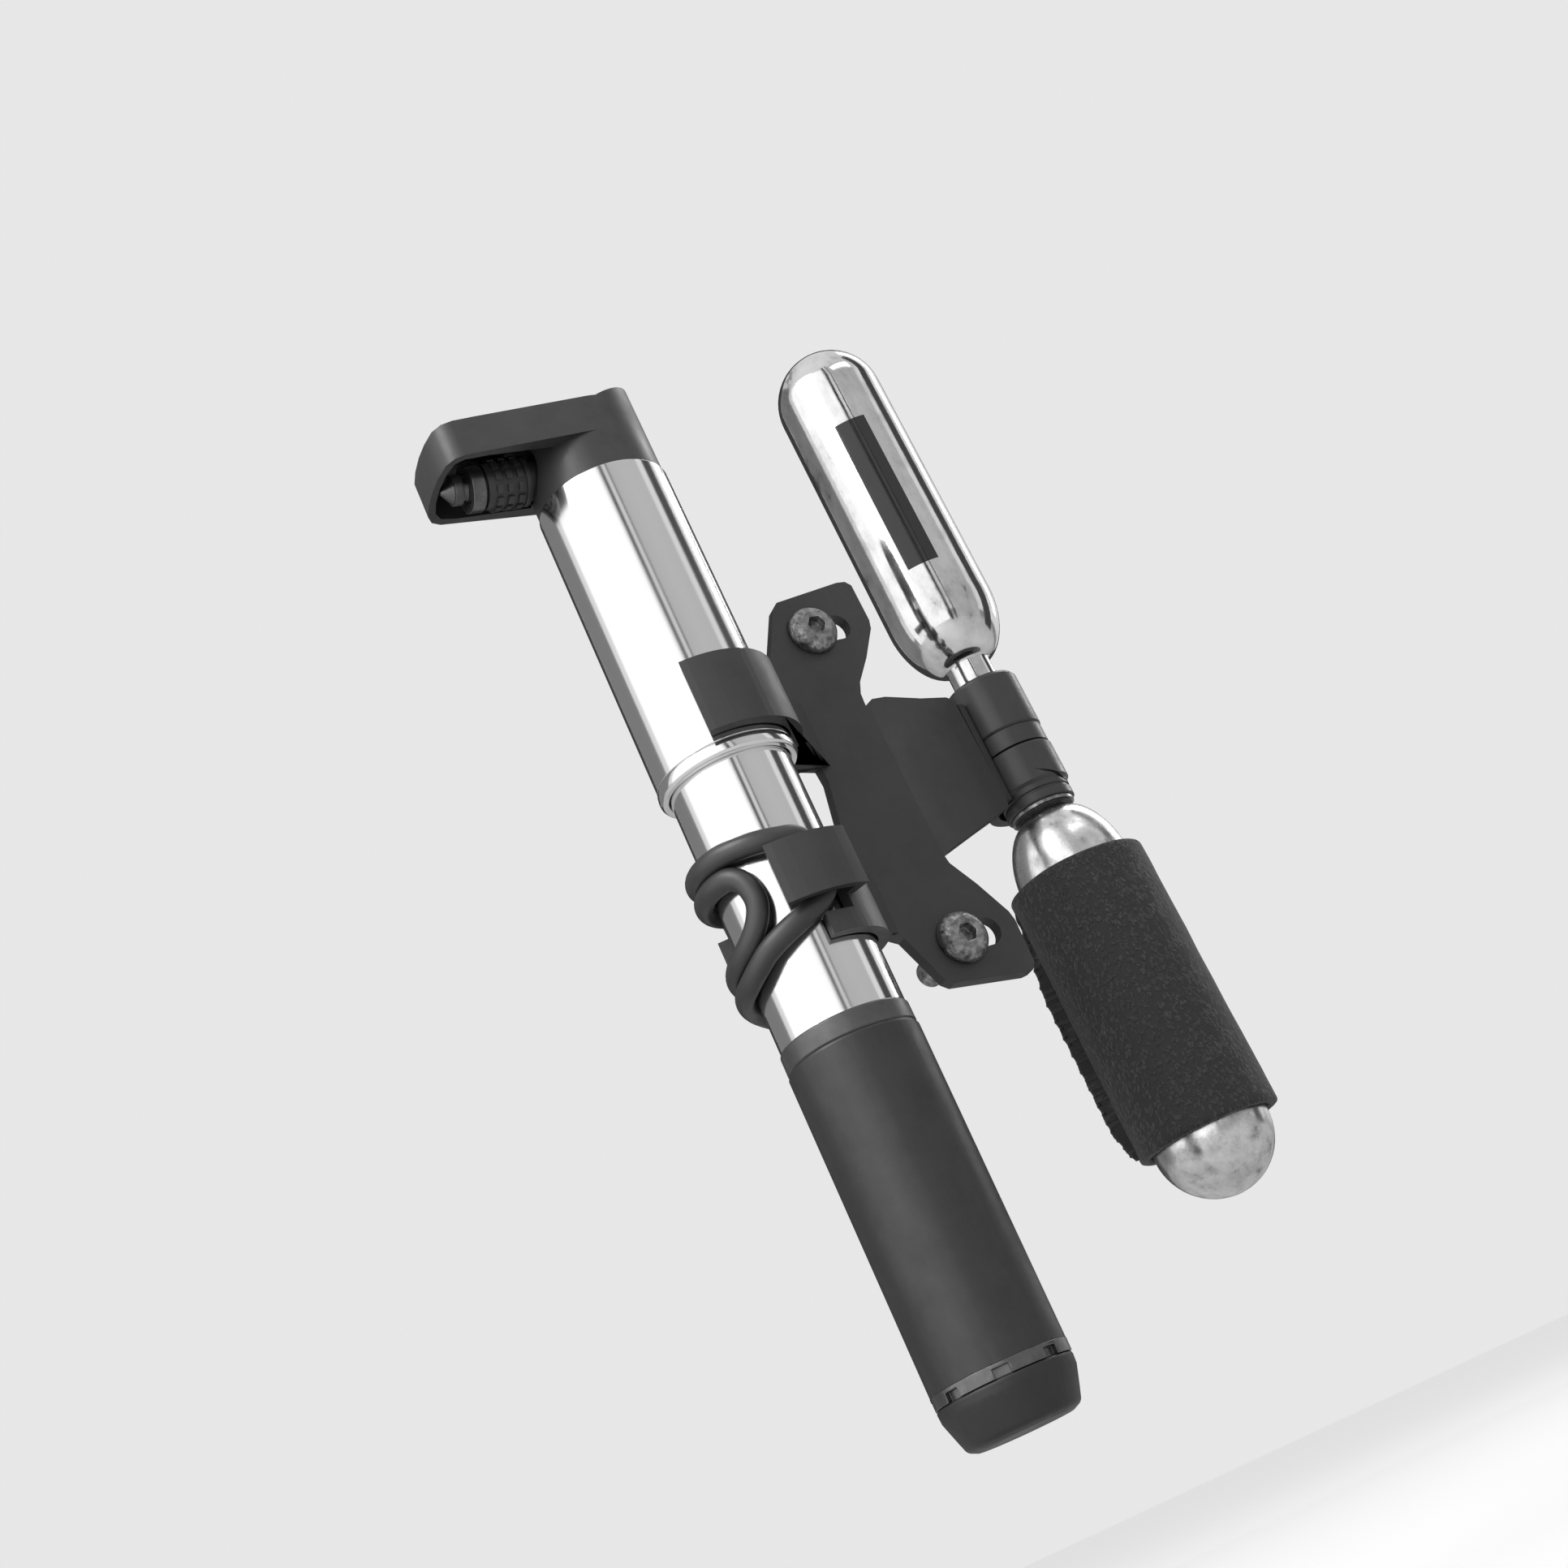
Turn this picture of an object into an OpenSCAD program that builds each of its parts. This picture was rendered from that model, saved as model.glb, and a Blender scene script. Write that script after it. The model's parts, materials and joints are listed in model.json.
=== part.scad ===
// Mini bicycle pump with a CO2 inflator and a frame bracket.
// Origin: back face of the bracket, midway between the two bolts.
// +Z runs along the pump toward its head, -Y is the outer side, +Y points into the frame tube.

/* [Pump] */
// outer diameter of the barrel
barrel_d = 24; // [20:0.5:30]
// wall of the barrel
barrel_wall = 0.8; // [0.5:0.1:1.5]
// lower end of the barrel
barrel_z0 = 1.5; // [-5:0.5:8]
// space between the inner tube and the bore of the barrel
tube_gap = 0.55; // [0.3:0.05:1.5]
// wall of the inner tube
tube_wall = 0.8; // [0.5:0.1:1.5]
// top of the grip
grip_z1 = -48; // [-60:1:-40]
// length of the grip
grip_len = 52; // [35:1:80]
// travel of the handle
stroke = 40; // [30:1:50]

/* [Head] */
// how far the head stands in from the face of the barrel
head_inset = 0.3; // [0:0.1:1]
// height of the hood above the joint of the head
hood_rise = 7.2; // [5:0.1:12]
// height of the hood itself
hood_t = 7.3; // [6:0.1:10]
// length of the knurled chuck sleeve
chuck_grip = 7.9; // [6:0.1:12]
// diameter of the knurled chuck sleeve
chuck_d = 9.2; // [7:0.1:9.6]

/* [Bracket] */
// thickness of the bracket plate
plate_t = 2.5; // [2:0.1:4]
// spacing of the two frame bolts
bolt_pitch = 64; // [60:1:70]
// thread diameter of the frame bolts
bolt_d = 5; // [4:0.5:6]
// length of bolt standing out behind the plate
stud_len = 12; // [8:1:20]
// wall of the pump clips
clip_wall = 2.1; // [1.5:0.1:3]
// width of the oval rubber strap, along the tube
strap_w = 3.8; // [2.5:0.1:4.2]
// thickness of the strap, off the tube
strap_t = 3; // [2:0.1:3.6]

/* [Inflator] */
// sideways place of the inflator axis
infl_x = 36.9; // [34:0.1:46]
// depth of the inflator axis
infl_y = 9.8; // [6:0.1:14]
// outer diameter of the inflator body
infl_d = 14.8; // [12:0.1:18]
// diameter of the gas cartridges
cart_d = 21.8; // [18:0.1:22.4]
// length of the gas cartridges
cart_len = 89; // [75:1:95]
// wall of the gas cartridges
cart_wall = 1.3; // [0.8:0.1:2]
// thickness of the thermal sleeve
sleeve_t = 2.1; // [1.5:0.1:3.5]

/* [Hidden] */
$fn = 72;
px = -33.7;
py = -12.4;
br = barrel_d / 2;
bri = br - barrel_wall;
tr = bri - tube_gap;
tri = tr - tube_wall;
hr = br - head_inset;
grip_z0 = grip_z1 - grip_len;
// the guide stops on the end ring at full stroke
guide_len = 5;
guide_z0 = barrel_z0 + 2.5 + stroke + 1;
spigot_len = 8;
// joint between barrel and head, clear of the guide at rest
head_z0 = guide_z0 + guide_len + spigot_len + 1.5;
hood_z0 = head_z0 + hood_rise;
hood_z1 = hood_z0 + hood_t;
// the clip mouth opens toward this azimuth
clip_az = 152;
clip_ri = br + 0.3;
clip_ro = clip_ri + clip_wall;
jaw_ri = tr + 0.35;
jaw_ro = jaw_ri + 2;
// hook of the jaw, over the strap
hook_ri = tr + 1.4 + strap_t;
hook_ro = hook_ri + 1.35;
// chuck, lying along -X from the head, measured from the pump axis
cz = head_z0 + 7.5;
cy = 1;
cr = chuck_d / 2;
neck_rad = cr - 0.95;
neck_x = 7.1 - hr;
chuck_x0 = -hr - 0.7;
chuck_x1 = chuck_x0 - chuck_grip;
hood_reach = 9 - chuck_x1;
// inflator stations
ir = infl_d / 2;
stem_r = 5.8;
neck_r = 4.4;
bore_r = neck_r + 0.1;
cut_r = ir + 0.4;
cradle_ro = cut_r + 2;
cart_r = cart_d / 2;
// gas outlet, facing back through the cradle's window
outlet_z = 5.7;
outlet_az = 60;
spare_z0 = 12.9;
spare_z1 = spare_z0 + cart_len;
load_z1 = 2.6;
load_z0 = load_z1 - cart_len;
sleeve_ri = cart_r + 0.3;
sleeve_ro = sleeve_ri + sleeve_t;
sleeve_z1 = -22;
sleeve_z0 = -75;
bz = bolt_pitch / 2;
// how much slimmer a bolt is inside the plate than at its thread
neck_waist = 0.4;

// outline of the bracket plate seen from outside, x and z
plate_pts = [
  [-5.3, 38.3], [-4.2, 39.3], [9.6, 41.3], [11.4, 41.2], [12.4, 40.2], [12.5, 32.2],
  [12, 30.4], [8.2, 24.6], [4.6, 20], [3.6, 17.6], [3.4, 14.8],
  [4.2, -16], [4.6, -18.2], [7.8, -23.2], [11.2, -29.6], [11.6, -31.4], [11.3, -39.6],
  [10.4, -40.8], [9, -41], [-5.2, -39.2], [-6.5, -38.2], [-10.4, -29.2],
  [-15.4, -26.2], [-16.1, -25], [-13, -11], [-10.5, 2.4], [-10.9, 7.2],
  [-12.2, 10.9], [-12.1, 17.7], [-10.7, 27.8]
];

// outline of the wing seen from outside, x and z
wing_pts = [
  [3, 14.8], [5.6, 16.4], [9.2, 16.9], [18.1, 16.6], [25.6, 17.1], [27, 16.6], [27.4, 15.6],
  [28, -5.8], [27.6, -7], [24.5, -8.4], [6.2, -15.6], [4, -17], [2, -17], [2, 14.8]
];

// strap route, azimuth about the pump axis, lift of its underside off the tube, height
strap_pts = [
  [-83, 0.3, -20.5], [-84, 0.3, -17.8], [-92, 0.3, -15.9], [-105, 0.3, -15.3],
  [-120, 0.3, -14.7], [-136, 0.3, -14.1], [-153, 0.3, -13.6], [-172, 0.3, -13.4],
  [-192, 0.3, -13.3], [-210, 0.3, -13.2], [-223, 0.3, -13.1], [-236, 0.8, -13.1],
  [-248, 1.8, -13.2], [-258, 3.4, -13.9], [-264, 4.8, -15.6], [-266, 5.3, -18.6],
  [-266, 5.3, -22.5], [-266, 5.3, -26.5], [-264, 4.8, -29.4], [-258, 3.4, -31.1],
  [-248, 1.8, -31.7], [-236, 0.8, -31.5], [-223, 0.3, -30.9], [-205, 0.3, -30.5],
  [-187, 0.3, -30], [-170, 0.3, -29.3], [-156, 0.3, -28.2], [-145, 0.3, -26.3],
  [-138.5, 0.3, -23.8], [-138.5, 0.3, -21.2], [-143, 0.3, -19], [-152, 0.3, -17.6],
  [-164, 0.3, -17.2], [-178, 0.3, -17.1], [-192, 0.3, -17.1], [-208, 0.3, -17.1],
  [-226, 0.3, -17.1], [-244, 0.3, -17.1], [-256, 0.7, -17.1], [-266, 1.3, -17.1],
  [-274, 2.4, -17.5], [-279.5, 3.4, -19.4], [-280, 3.5, -23], [-280, 3.5, -27],
  [-279.5, 3.4, -31], [-275, 2.5, -34.2], [-266, 1.3, -35.7], [-254, 0.7, -35.9],
  [-240, 0.3, -35.4], [-222, 0.3, -34.7], [-206, 0.3, -34.3], [-190, 0.3, -34],
  [-175, 0.3, -33.6], [-160, 0.3, -32.6], [-146, 0.3, -31.3], [-131, 0.3, -30.2],
  [-113, 0.3, -28.9], [-98, 0.3, -27.5], [-88, 0.3, -25.6], [-83.5, 0.3, -23.1]
];

// "all" draws the whole pump, a node name draws one piece

// ---------- shared shapes ----------

// straight tube standing on z0
module pipe(ro, ri, z0, z1) {
  difference() {
    translate([0, 0, z0])
      cylinder(h = z1 - z0, r = ro);
    translate([0, 0, z0 - 1])
      cylinder(h = z1 - z0 + 2, r = ri);
  }
}

// prism of an x,z outline from y0 to y1
module upright(pts, y0, y1) {
  translate([0, y1, 0])
    rotate([90, 0, 0])
      linear_extrude(height = y1 - y0)
        polygon(pts);
}

// cylinder along X in pump coordinates
module xcyl(x0, x1, r) {
  translate([x0, cy, cz])
    rotate([0, 90, 0])
      cylinder(h = x1 - x0, r = r);
}

// flat web from one plan point to another, t thick
module web(x0, y0, x1, y1, t, z0, z1) {
  translate([x0, y0, z0])
    rotate([0, 0, atan2(y1 - y0, x1 - x0)])
      translate([0, -t / 2, 0])
        cube([norm([x1 - x0, y1 - y0]), t, z1 - z0]);
}

// half ring plus a straight back arm, open toward clip_az
module cradle_ring(ri, ro, z0, z1, arm) {
  rotate([0, 0, clip_az])
    translate([0, 0, z0]) {
      difference() {
        cylinder(h = z1 - z0, r = ro);
        translate([0, 0, -1])
          cylinder(h = z1 - z0 + 2, r = ri);
        translate([0, -ro - 1, -1])
          cube([ro + 1, 2 * ro + 2, z1 - z0 + 2]);
      }
      translate([-0.1, -ro, 0])
        cube([arm + 0.1, ro - ri, z1 - z0]);
    }
}

// pie slice between two azimuths
module slice(a0, a1, r, z0, z1) {
  am = (a0 + a1) / 2;
  translate([0, 0, z0])
    linear_extrude(height = z1 - z0)
      polygon([
        [0, 0],
        [r * cos(a0), r * sin(a0)],
        [r * 1.1 * cos((a0 + am) / 2), r * 1.1 * sin((a0 + am) / 2)],
        [r * 1.1 * cos(am), r * 1.1 * sin(am)],
        [r * 1.1 * cos((am + a1) / 2), r * 1.1 * sin((am + a1) / 2)],
        [r * cos(a1), r * sin(a1)]
      ]);
}

// ---------- bracket ----------

module slot_cut(z) {
  sr = bolt_d / 2 + 0.1;
  translate([0, 1, z])
    rotate([90, 0, 0])
      cylinder(h = plate_t + 2, r = sr);
  translate([5.4, 1, z])
    rotate([90, 0, 0])
      cylinder(h = plate_t + 2, r = sr);
  translate([0, -plate_t - 1, z - sr])
    cube([5.4, plate_t + 2, 2 * sr]);
}

module plate() {
  upright(plate_pts, -plate_t, 0);
}

module wing() {
  intersection() {
    upright(wing_pts, -10, 20);
    translate([0, 0, -20])
      linear_extrude(height = 40)
        polygon([
          [2, -plate_t], [4, -plate_t], [17.2, 1.9], [28.2, 6.1],
          [27.3, 8.5], [16.4, 4.3], [3.4, 0], [2, 0]
        ]);
  }
}

// arms that hold the inflator from behind
module inflator_cradle() {
  translate([infl_x, infl_y, 0])
    difference() {
      rotate([0, 0, 113])
        translate([0, 0, -5.6])
          difference() {
            cylinder(h = 21.2, r = cradle_ro);
            translate([0, 0, -1])
              cylinder(h = 24, r = cut_r);
            translate([-cradle_ro - 1, -cradle_ro - 1, -1])
              cube([cradle_ro + 1, 2 * cradle_ro + 2, 24]);
          }
      // window for the gas outlet
      rotate([0, 0, outlet_az])
        translate([cut_r - 3, -3.4, outlet_z - 3.5])
          cube([8, 6.8, 7]);
    }
}

module top_clip() {
  translate([px, py, 0])
    cradle_ring(clip_ri, clip_ro, 5, 18.3, 5);
  web(px + clip_ri * cos(25), py + clip_ri * sin(25) + 0.4, -9, -plate_t / 2, 2.5, 5, 18.3);
}

module lower_clip() {
  translate([px, py, 0]) {
    difference() {
      cradle_ring(jaw_ri, jaw_ro, -33.2, -16.6, 0.2);
      // opening in the front arm that the strap runs through
      slice(-122, -97, 24, -34, -10);
      slice(-97.5, -73, 24, -29.6, -10);
    }
    rotate([0, 0, clip_az])
      translate([-0.1, -jaw_ro, -28.8])
        cube([13, jaw_ro - jaw_ri, 9.4]);
    // hook over the strap, rooted on the band to its right
    intersection() {
      pipe(hook_ro, hook_ri, -27.2, -17);
      union() {
        slice(-118, -92, 24, -28, -16);
        slice(-93, -66, 24, -28, -16);
      }
    }
    intersection() {
      pipe(hook_ri + 0.15, jaw_ro - 0.4, -27.2, -17);
      slice(-73.4, -66, 24, -28, -16);
    }
    // nose of the hook, between the two strands
    intersection() {
      pipe(hook_ri + 0.15, jaw_ri, -25.2, -17.6);
      slice(-118, -94, 24, -28, -16);
    }
  }
  web(px + jaw_ri * cos(25) + 0.5, py + jaw_ri * sin(25) + 0.6, -11, -plate_t / 2, 2.4, -28, -16.6);
}

module bracket() {
  color([0.2, 0.2, 0.21])
    difference() {
      union() {
        plate();
        wing();
        inflator_cradle();
        top_clip();
        lower_clip();
      }
      slot_cut(bz);
      slot_cut(-bz);
    }
}

module frame_bolt(z) {
  translate([0, -plate_t, z])
    rotate([90, 0, 0])
      difference() {
        union() {
          rotate_extrude()
            polygon([[0, 0], [4.75, 0], [4.75, 0.5], [4.4, 1.4], [3.6, 2.3], [2.7, 2.75], [0, 2.75]]);
          // waisted neck in the plate, then the threaded end behind it
          translate([0, 0, -plate_t])
            cylinder(h = plate_t + 0.1, r = bolt_d / 2 - neck_waist);
          translate([0, 0, -plate_t - stud_len])
            cylinder(h = stud_len, r = bolt_d / 2);
        }
        translate([0, 0, 0.9])
          cylinder(h = 3, r = 1.75, $fn = 6);
      }
}

module bracket_bolts() {
  color([0.55, 0.54, 0.52]) {
    frame_bolt(bz);
    frame_bolt(-bz);
  }
}

// ---------- rubber strap ----------

function strap_r(lift) = tr + lift + strap_t / 2;
function strap_at(p) = [px + strap_r(p[1]) * cos(p[0]), py + strap_r(p[1]) * sin(p[0]), p[2]];
strap_n = len(strap_pts);
strap_c = [for (p = strap_pts) strap_at(p)];
function unit(v) = v / norm(v);
function strap_dir(i) = unit(strap_c[(i + 1) % strap_n] - strap_c[(i + strap_n - 1) % strap_n]);
function strap_out(i) = [cos(strap_pts[i][0]), sin(strap_pts[i][0]), 0];
function strap_u(i) = unit(cross(strap_dir(i), strap_out(i)));
function strap_v(i) = cross(strap_u(i), strap_dir(i));
strap_k = 10;

module rubber_strap() {
  color([0.16, 0.16, 0.16])
    polyhedron(
      points = [
        for (i = [0 : strap_n - 1])
          for (j = [0 : strap_k - 1])
            strap_c[i]
              + strap_w / 2 * cos(360 * j / strap_k) * strap_u(i)
              + strap_t / 2 * sin(360 * j / strap_k) * strap_v(i)
      ],
      faces = [
        for (i = [0 : strap_n - 1])
          for (j = [0 : strap_k - 1])
            for (s = [0, 1])
              s == 0
                ? [
                    i * strap_k + j,
                    i * strap_k + (j + 1) % strap_k,
                    ((i + 1) % strap_n) * strap_k + (j + 1) % strap_k
                  ]
                : [
                    i * strap_k + j,
                    ((i + 1) % strap_n) * strap_k + (j + 1) % strap_k,
                    ((i + 1) % strap_n) * strap_k + j
                  ]
      ]
    );
}

// ---------- pump, drawn about its own axis ----------

module hood_block() {
  translate([0, 0, hood_z0])
    linear_extrude(height = hood_z1 - hood_z0)
      polygon([
        [-1.2, -hr + 0.07], [-hood_reach + 8.3, -9.6], [-hood_reach + 4.2, -9.1],
        [-hood_reach + 2.3, -8.3], [-hood_reach + 1, -6.6], [-hood_reach + 0.3, -3.4],
        [-hood_reach, 0], [-hood_reach + 0.1, 4], [-hood_reach + 0.6, 7.4],
        [-hood_reach + 1.6, 9.2], [-hood_reach + 3.4, 10.1], [-hood_reach + 8, 10.4],
        [-1.4, hr - 0.1], [0, 9], [0, -9]
      ]);
}

module hood_cavity() {
  translate([0, 0, head_z0 + 0.5])
    linear_extrude(height = hood_z1 - 1.6 - head_z0 - 0.5)
      polygon([
        [-9, -8.2], [-hood_reach + 8.3, -8.2], [-hood_reach + 4.2, -7.8],
        [-hood_reach + 2.6, -6.8], [-hood_reach + 1.6, -4], [-hood_reach + 1.2, 0],
        [-hood_reach + 1.3, 3.6], [-hood_reach + 1.8, 6.6], [-hood_reach + 3.2, 8.4],
        [-hood_reach + 6, 8.9], [-9, 8.9]
      ]);
}

module pump_head() {
  color([0.3, 0.3, 0.31])
    translate([px, py, 0])
      difference() {
        union() {
          // round body with a roof that rises away from the hood
          intersection() {
            translate([0, 0, head_z0])
              cylinder(h = 21, r = hr);
            upright([
              [-40, head_z0 - 9], [-40, hood_z1], [0.8, hood_z1], [hr + 0.8, hood_z1 + 5.3],
              [hr + 0.8, head_z0 - 9]
            ], -20, 20);
          }
          difference() {
            hood_block();
            difference() {
              hood_cavity();
              translate([0, 0, head_z0 - 0.5])
                cylinder(h = 30, r = hr);
            }
          }
          // spigot pressed into the barrel
          translate([0, 0, head_z0 - spigot_len])
            cylinder(h = spigot_len + 0.5, r = bri);
        }
        // scoop around the chuck neck
        translate([chuck_x0 - 1.6, cy, cz + 1.2])
          rotate([0, 90, 0])
            cylinder(h = 5, r = cr + 0.5);
        // groove for the seal
        pipe(bri + 1, bri - 1.4, head_z0 - 5.5, head_z0 - 3.5);
        // rod socket, air way and neck socket
        translate([0, 0, head_z0 - spigot_len - 1])
          cylinder(h = spigot_len + 2.3, r = 4);
        translate([0, 0, head_z0 + 0.5])
          cylinder(h = cz - head_z0 + 0.5, r = 1.8);
        xcyl(neck_x, 0.5, 1.6);
        xcyl(chuck_x0 - 1.6, neck_x + 0.1, neck_rad);
      }
}

module barrel() {
  color([0.85, 0.85, 0.86])
    translate([px, py, 0])
      pipe(br, bri, barrel_z0 + 2.5, head_z0);
}

module barrel_end_ring() {
  color([0.85, 0.85, 0.86])
    translate([px, py, barrel_z0])
      rotate_extrude()
        polygon([
          [tr + 0.08, 0.3], [tr + 0.3, 0], [br - 0.1, 0], [br + 0.25, 0.5],
          [br + 0.3, 1.2], [br + 0.2, 2], [br - 0.05, 2.5], [tr + 0.08, 2.5]
        ]);
}

module head_seal() {
  color([0.08, 0.08, 0.08])
    translate([px, py, 0])
      pipe(bri, bri - 1.4, head_z0 - 5.4, head_z0 - 3.6);
}

module piston_rod() {
  color([0.7, 0.7, 0.7])
    translate([px, py, 0])
      pipe(4, 2.2, grip_z0 + 9, head_z0 + 1.3);
}

module piston() {
  color([0.3, 0.3, 0.3])
    translate([px, py, grip_z0 + 8])
      difference() {
        cylinder(h = 8, r = tri - 0.07);
        translate([0, 0, 1])
          cylinder(h = 10, r = 4);
        translate([0, 0, -1])
          cylinder(h = 10, r = 2.2);
        pipe(tri + 1, tri - 1.6, 3, 5.6);
      }
}

module piston_seal() {
  color([0.08, 0.08, 0.08])
    translate([px, py, grip_z0 + 8])
      pipe(tri - 0.03, tri - 1.6, 3.1, 5.5);
}

module check_valve() {
  color([0.1, 0.1, 0.1])
    translate([px, py, 0])
      pipe(1.8, 0.7, head_z0 + 1.3, head_z0 + 3.8);
}

module chuck_neck() {
  color([0.6, 0.6, 0.6])
    translate([px, py, 0])
      difference() {
        xcyl(chuck_x1 + 2.9, neck_x, neck_rad);
        xcyl(chuck_x1 + 2, neck_x + 1, 1.4);
      }
}

// ---------- chuck ----------

module chuck_sleeve() {
  color([0.3, 0.3, 0.3])
    translate([px, py, 0])
      difference() {
        union() {
          xcyl(chuck_x1, chuck_x0 - 0.2, cr - 0.5);
          xcyl(chuck_x1 - 0.5, chuck_x1 + 0.1, cr - 1.2);
          for (x = [1.4, 3.4, 5.4])
            xcyl(chuck_x1 + x, chuck_x1 + x + 1.1, cr);
          xcyl(chuck_x0 - 0.9, chuck_x0, cr - 0.2);
        }
        xcyl(chuck_x1 + 1, chuck_x0 + 1, neck_rad + 0.07);
        xcyl(chuck_x1 - 2, chuck_x0 + 1, 1.2);
        // gaps between the grip teeth
        for (a = [0 : 30 : 330])
          translate([chuck_x1 + 1.1, cy, cz])
            rotate([a, 0, 0])
              translate([0, -0.4, cr - 0.5])
                cube([5.6, 0.8, 2]);
      }
}

module chuck_flange() {
  color([0.6, 0.6, 0.6])
    translate([px, py, 0])
      difference() {
        union() {
          xcyl(chuck_x1 - 2.9, chuck_x1 - 0.5, cr - 0.3);
          xcyl(chuck_x1 - 3.9, chuck_x1 - 2.8, 2);
        }
        xcyl(chuck_x1 - 3.7, chuck_x1, 1.2);
      }
}

module chuck_ring() {
  color([0.6, 0.6, 0.6])
    translate([px, py, 0])
      xcyl(chuck_x1 - 5.5, chuck_x1 - 3.9, 2.7);
}

module chuck_plug() {
  color([0.8, 0.8, 0.8])
    translate([px + chuck_x1 - 5.5, py + cy, cz])
      rotate([0, -90, 0])
        cylinder(h = 2, r1 = 2.4, r2 = 0.5);
}

module chuck_gasket() {
  color([0.08, 0.08, 0.08])
    translate([px, py, 0])
      difference() {
        xcyl(chuck_x1 + 1, chuck_x1 + 2.8, neck_rad - 0.15);
        xcyl(chuck_x1, chuck_x1 + 3, 1.2);
      }
}

// ---------- handle ----------

module inner_tube() {
  color([0.85, 0.85, 0.86])
    translate([px, py, 0])
      pipe(tr, tri, grip_z0 + 5, guide_z0 + guide_len);
}

module tube_guide() {
  color([0.75, 0.75, 0.72])
    translate([px, py, 0])
      pipe(bri - 0.05, tr, guide_z0, guide_z0 + guide_len);
}

module handle_collar() {
  color([0.5, 0.5, 0.5])
    translate([px, py, grip_z1])
      rotate_extrude()
        polygon([[tr, 0], [tr + 0.1, 0], [tr + 0.3, 0.25], [tr + 0.28, 3.2], [tr + 0.1, 3.5], [tr, 3.5]]);
}

module handle_grip() {
  color([0.3, 0.3, 0.3])
    translate([px, py, grip_z0])
      rotate_extrude()
        polygon([
          [tr, 0], [tr + 0.25, 0], [tr + 0.45, grip_len - 0.6],
          [tr + 0.15, grip_len], [tr, grip_len]
        ]);
}

module lock_ring() {
  color([0.6, 0.6, 0.6])
    translate([px, py, grip_z0 - 2])
      difference() {
        cylinder(h = 2, r = tr + 0.3);
        translate([0, 0, -1])
          cylinder(h = 4, r = tri);
        for (a = [0 : 45 : 315])
          rotate([0, 0, a + 18])
            translate([tr - 0.7, -1.3, -0.5])
              cube([3, 2.6, 1.9]);
      }
}

module end_cap() {
  color([0.07, 0.07, 0.07])
    translate([px, py, grip_z0 - 9.5])
      rotate_extrude()
        polygon([
          [0, 0], [tr - 3, 0], [tr - 1.6, 0.6], [tr - 0.9, 2.6], [tr + 0.1, 5.6],
          [tr + 0.25, 7.5], [0, 7.5]
        ]);
}

module tube_plug() {
  color([0.3, 0.3, 0.3])
    translate([px, py, 0]) {
      translate([0, 0, grip_z0 - 2])
        cylinder(h = 7, r = tri);
      pipe(tr, tri - 0.5, grip_z0, grip_z0 + 5);
    }
}

// ---------- inflator, drawn about its own axis ----------

module inflator_body() {
  color([0.22, 0.22, 0.23])
    translate([infl_x, infl_y, 0])
      difference() {
        union() {
          translate([0, 0, -9])
            cylinder(h = 13, r = stem_r);
          translate([0, 0, 3.8])
            cylinder(h = 3.6, r = ir - 0.2);
        }
        // threaded socket of the loaded cartridge
        translate([0, 0, -10])
          cylinder(h = 13.6, r = bore_r);
        translate([0, 0, 3])
          cylinder(h = 1.8, r = 2);
        // gas way to the outlet
        translate([0, 0, outlet_z])
          rotate([0, 90, outlet_az])
            cylinder(h = 10, r = 0.7);
        translate([0, 0, outlet_z])
          rotate([0, 90, outlet_az])
            translate([0, 0, 5.2])
              cylinder(h = 5, r = 1.5);
        translate([0, 0, 4])
          cylinder(h = 2.8, r = 1.3);
        // groove of the o-ring
        pipe(stem_r + 1, stem_r - 0.9, 0.4, 1.9);
        // groove of the snap ring
        pipe(stem_r + 1, stem_r - 0.5, -8.7, -8.1);
      }
}

module spare_socket() {
  color([0.24, 0.24, 0.25])
    translate([infl_x, infl_y, 0])
      difference() {
        rotate_extrude()
          polygon([
            [0, 7.4], [ir - 0.5, 7.4], [ir, 7.9], [ir, 18.7], [ir - 0.5, 19.4], [0, 19.4]
          ]);
        translate([0, 0, spare_z0 - 0.4])
          cylinder(h = 8, r = neck_r + 0.1);
      }
}

module piercing_pin() {
  color([0.75, 0.75, 0.75])
    translate([infl_x, infl_y, 0])
      difference() {
        rotate_extrude()
          polygon([[0, 2.9], [0.7, 2.9], [2, 3.7], [2, 4.8], [0, 4.8]]);
        translate([0, 0, 2])
          cylinder(h = 4, r = 0.4);
      }
}

module inlet_gasket() {
  color([0.08, 0.08, 0.08])
    translate([infl_x, infl_y, 0])
      pipe(bore_r, 2, 3.1, 3.6);
}

module outlet_gasket() {
  color([0.08, 0.08, 0.08])
    translate([infl_x, infl_y, outlet_z])
      rotate([0, 90, outlet_az])
        pipe(1.5, 0.8, 5.2, 6.7);
}

module body_o_ring() {
  color([0.08, 0.08, 0.08])
    translate([infl_x, infl_y, 0])
      pipe(stem_r + 0.03, stem_r - 0.9, 0.5, 1.8);
}

module ring_clip() {
  color([0.7, 0.7, 0.7])
    translate([infl_x, infl_y, 0])
      difference() {
        pipe(stem_r + 0.5, stem_r - 0.5, -8.7, -8.1);
        translate([3, -1, -10])
          cube([6, 2, 3]);
      }
}

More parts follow.
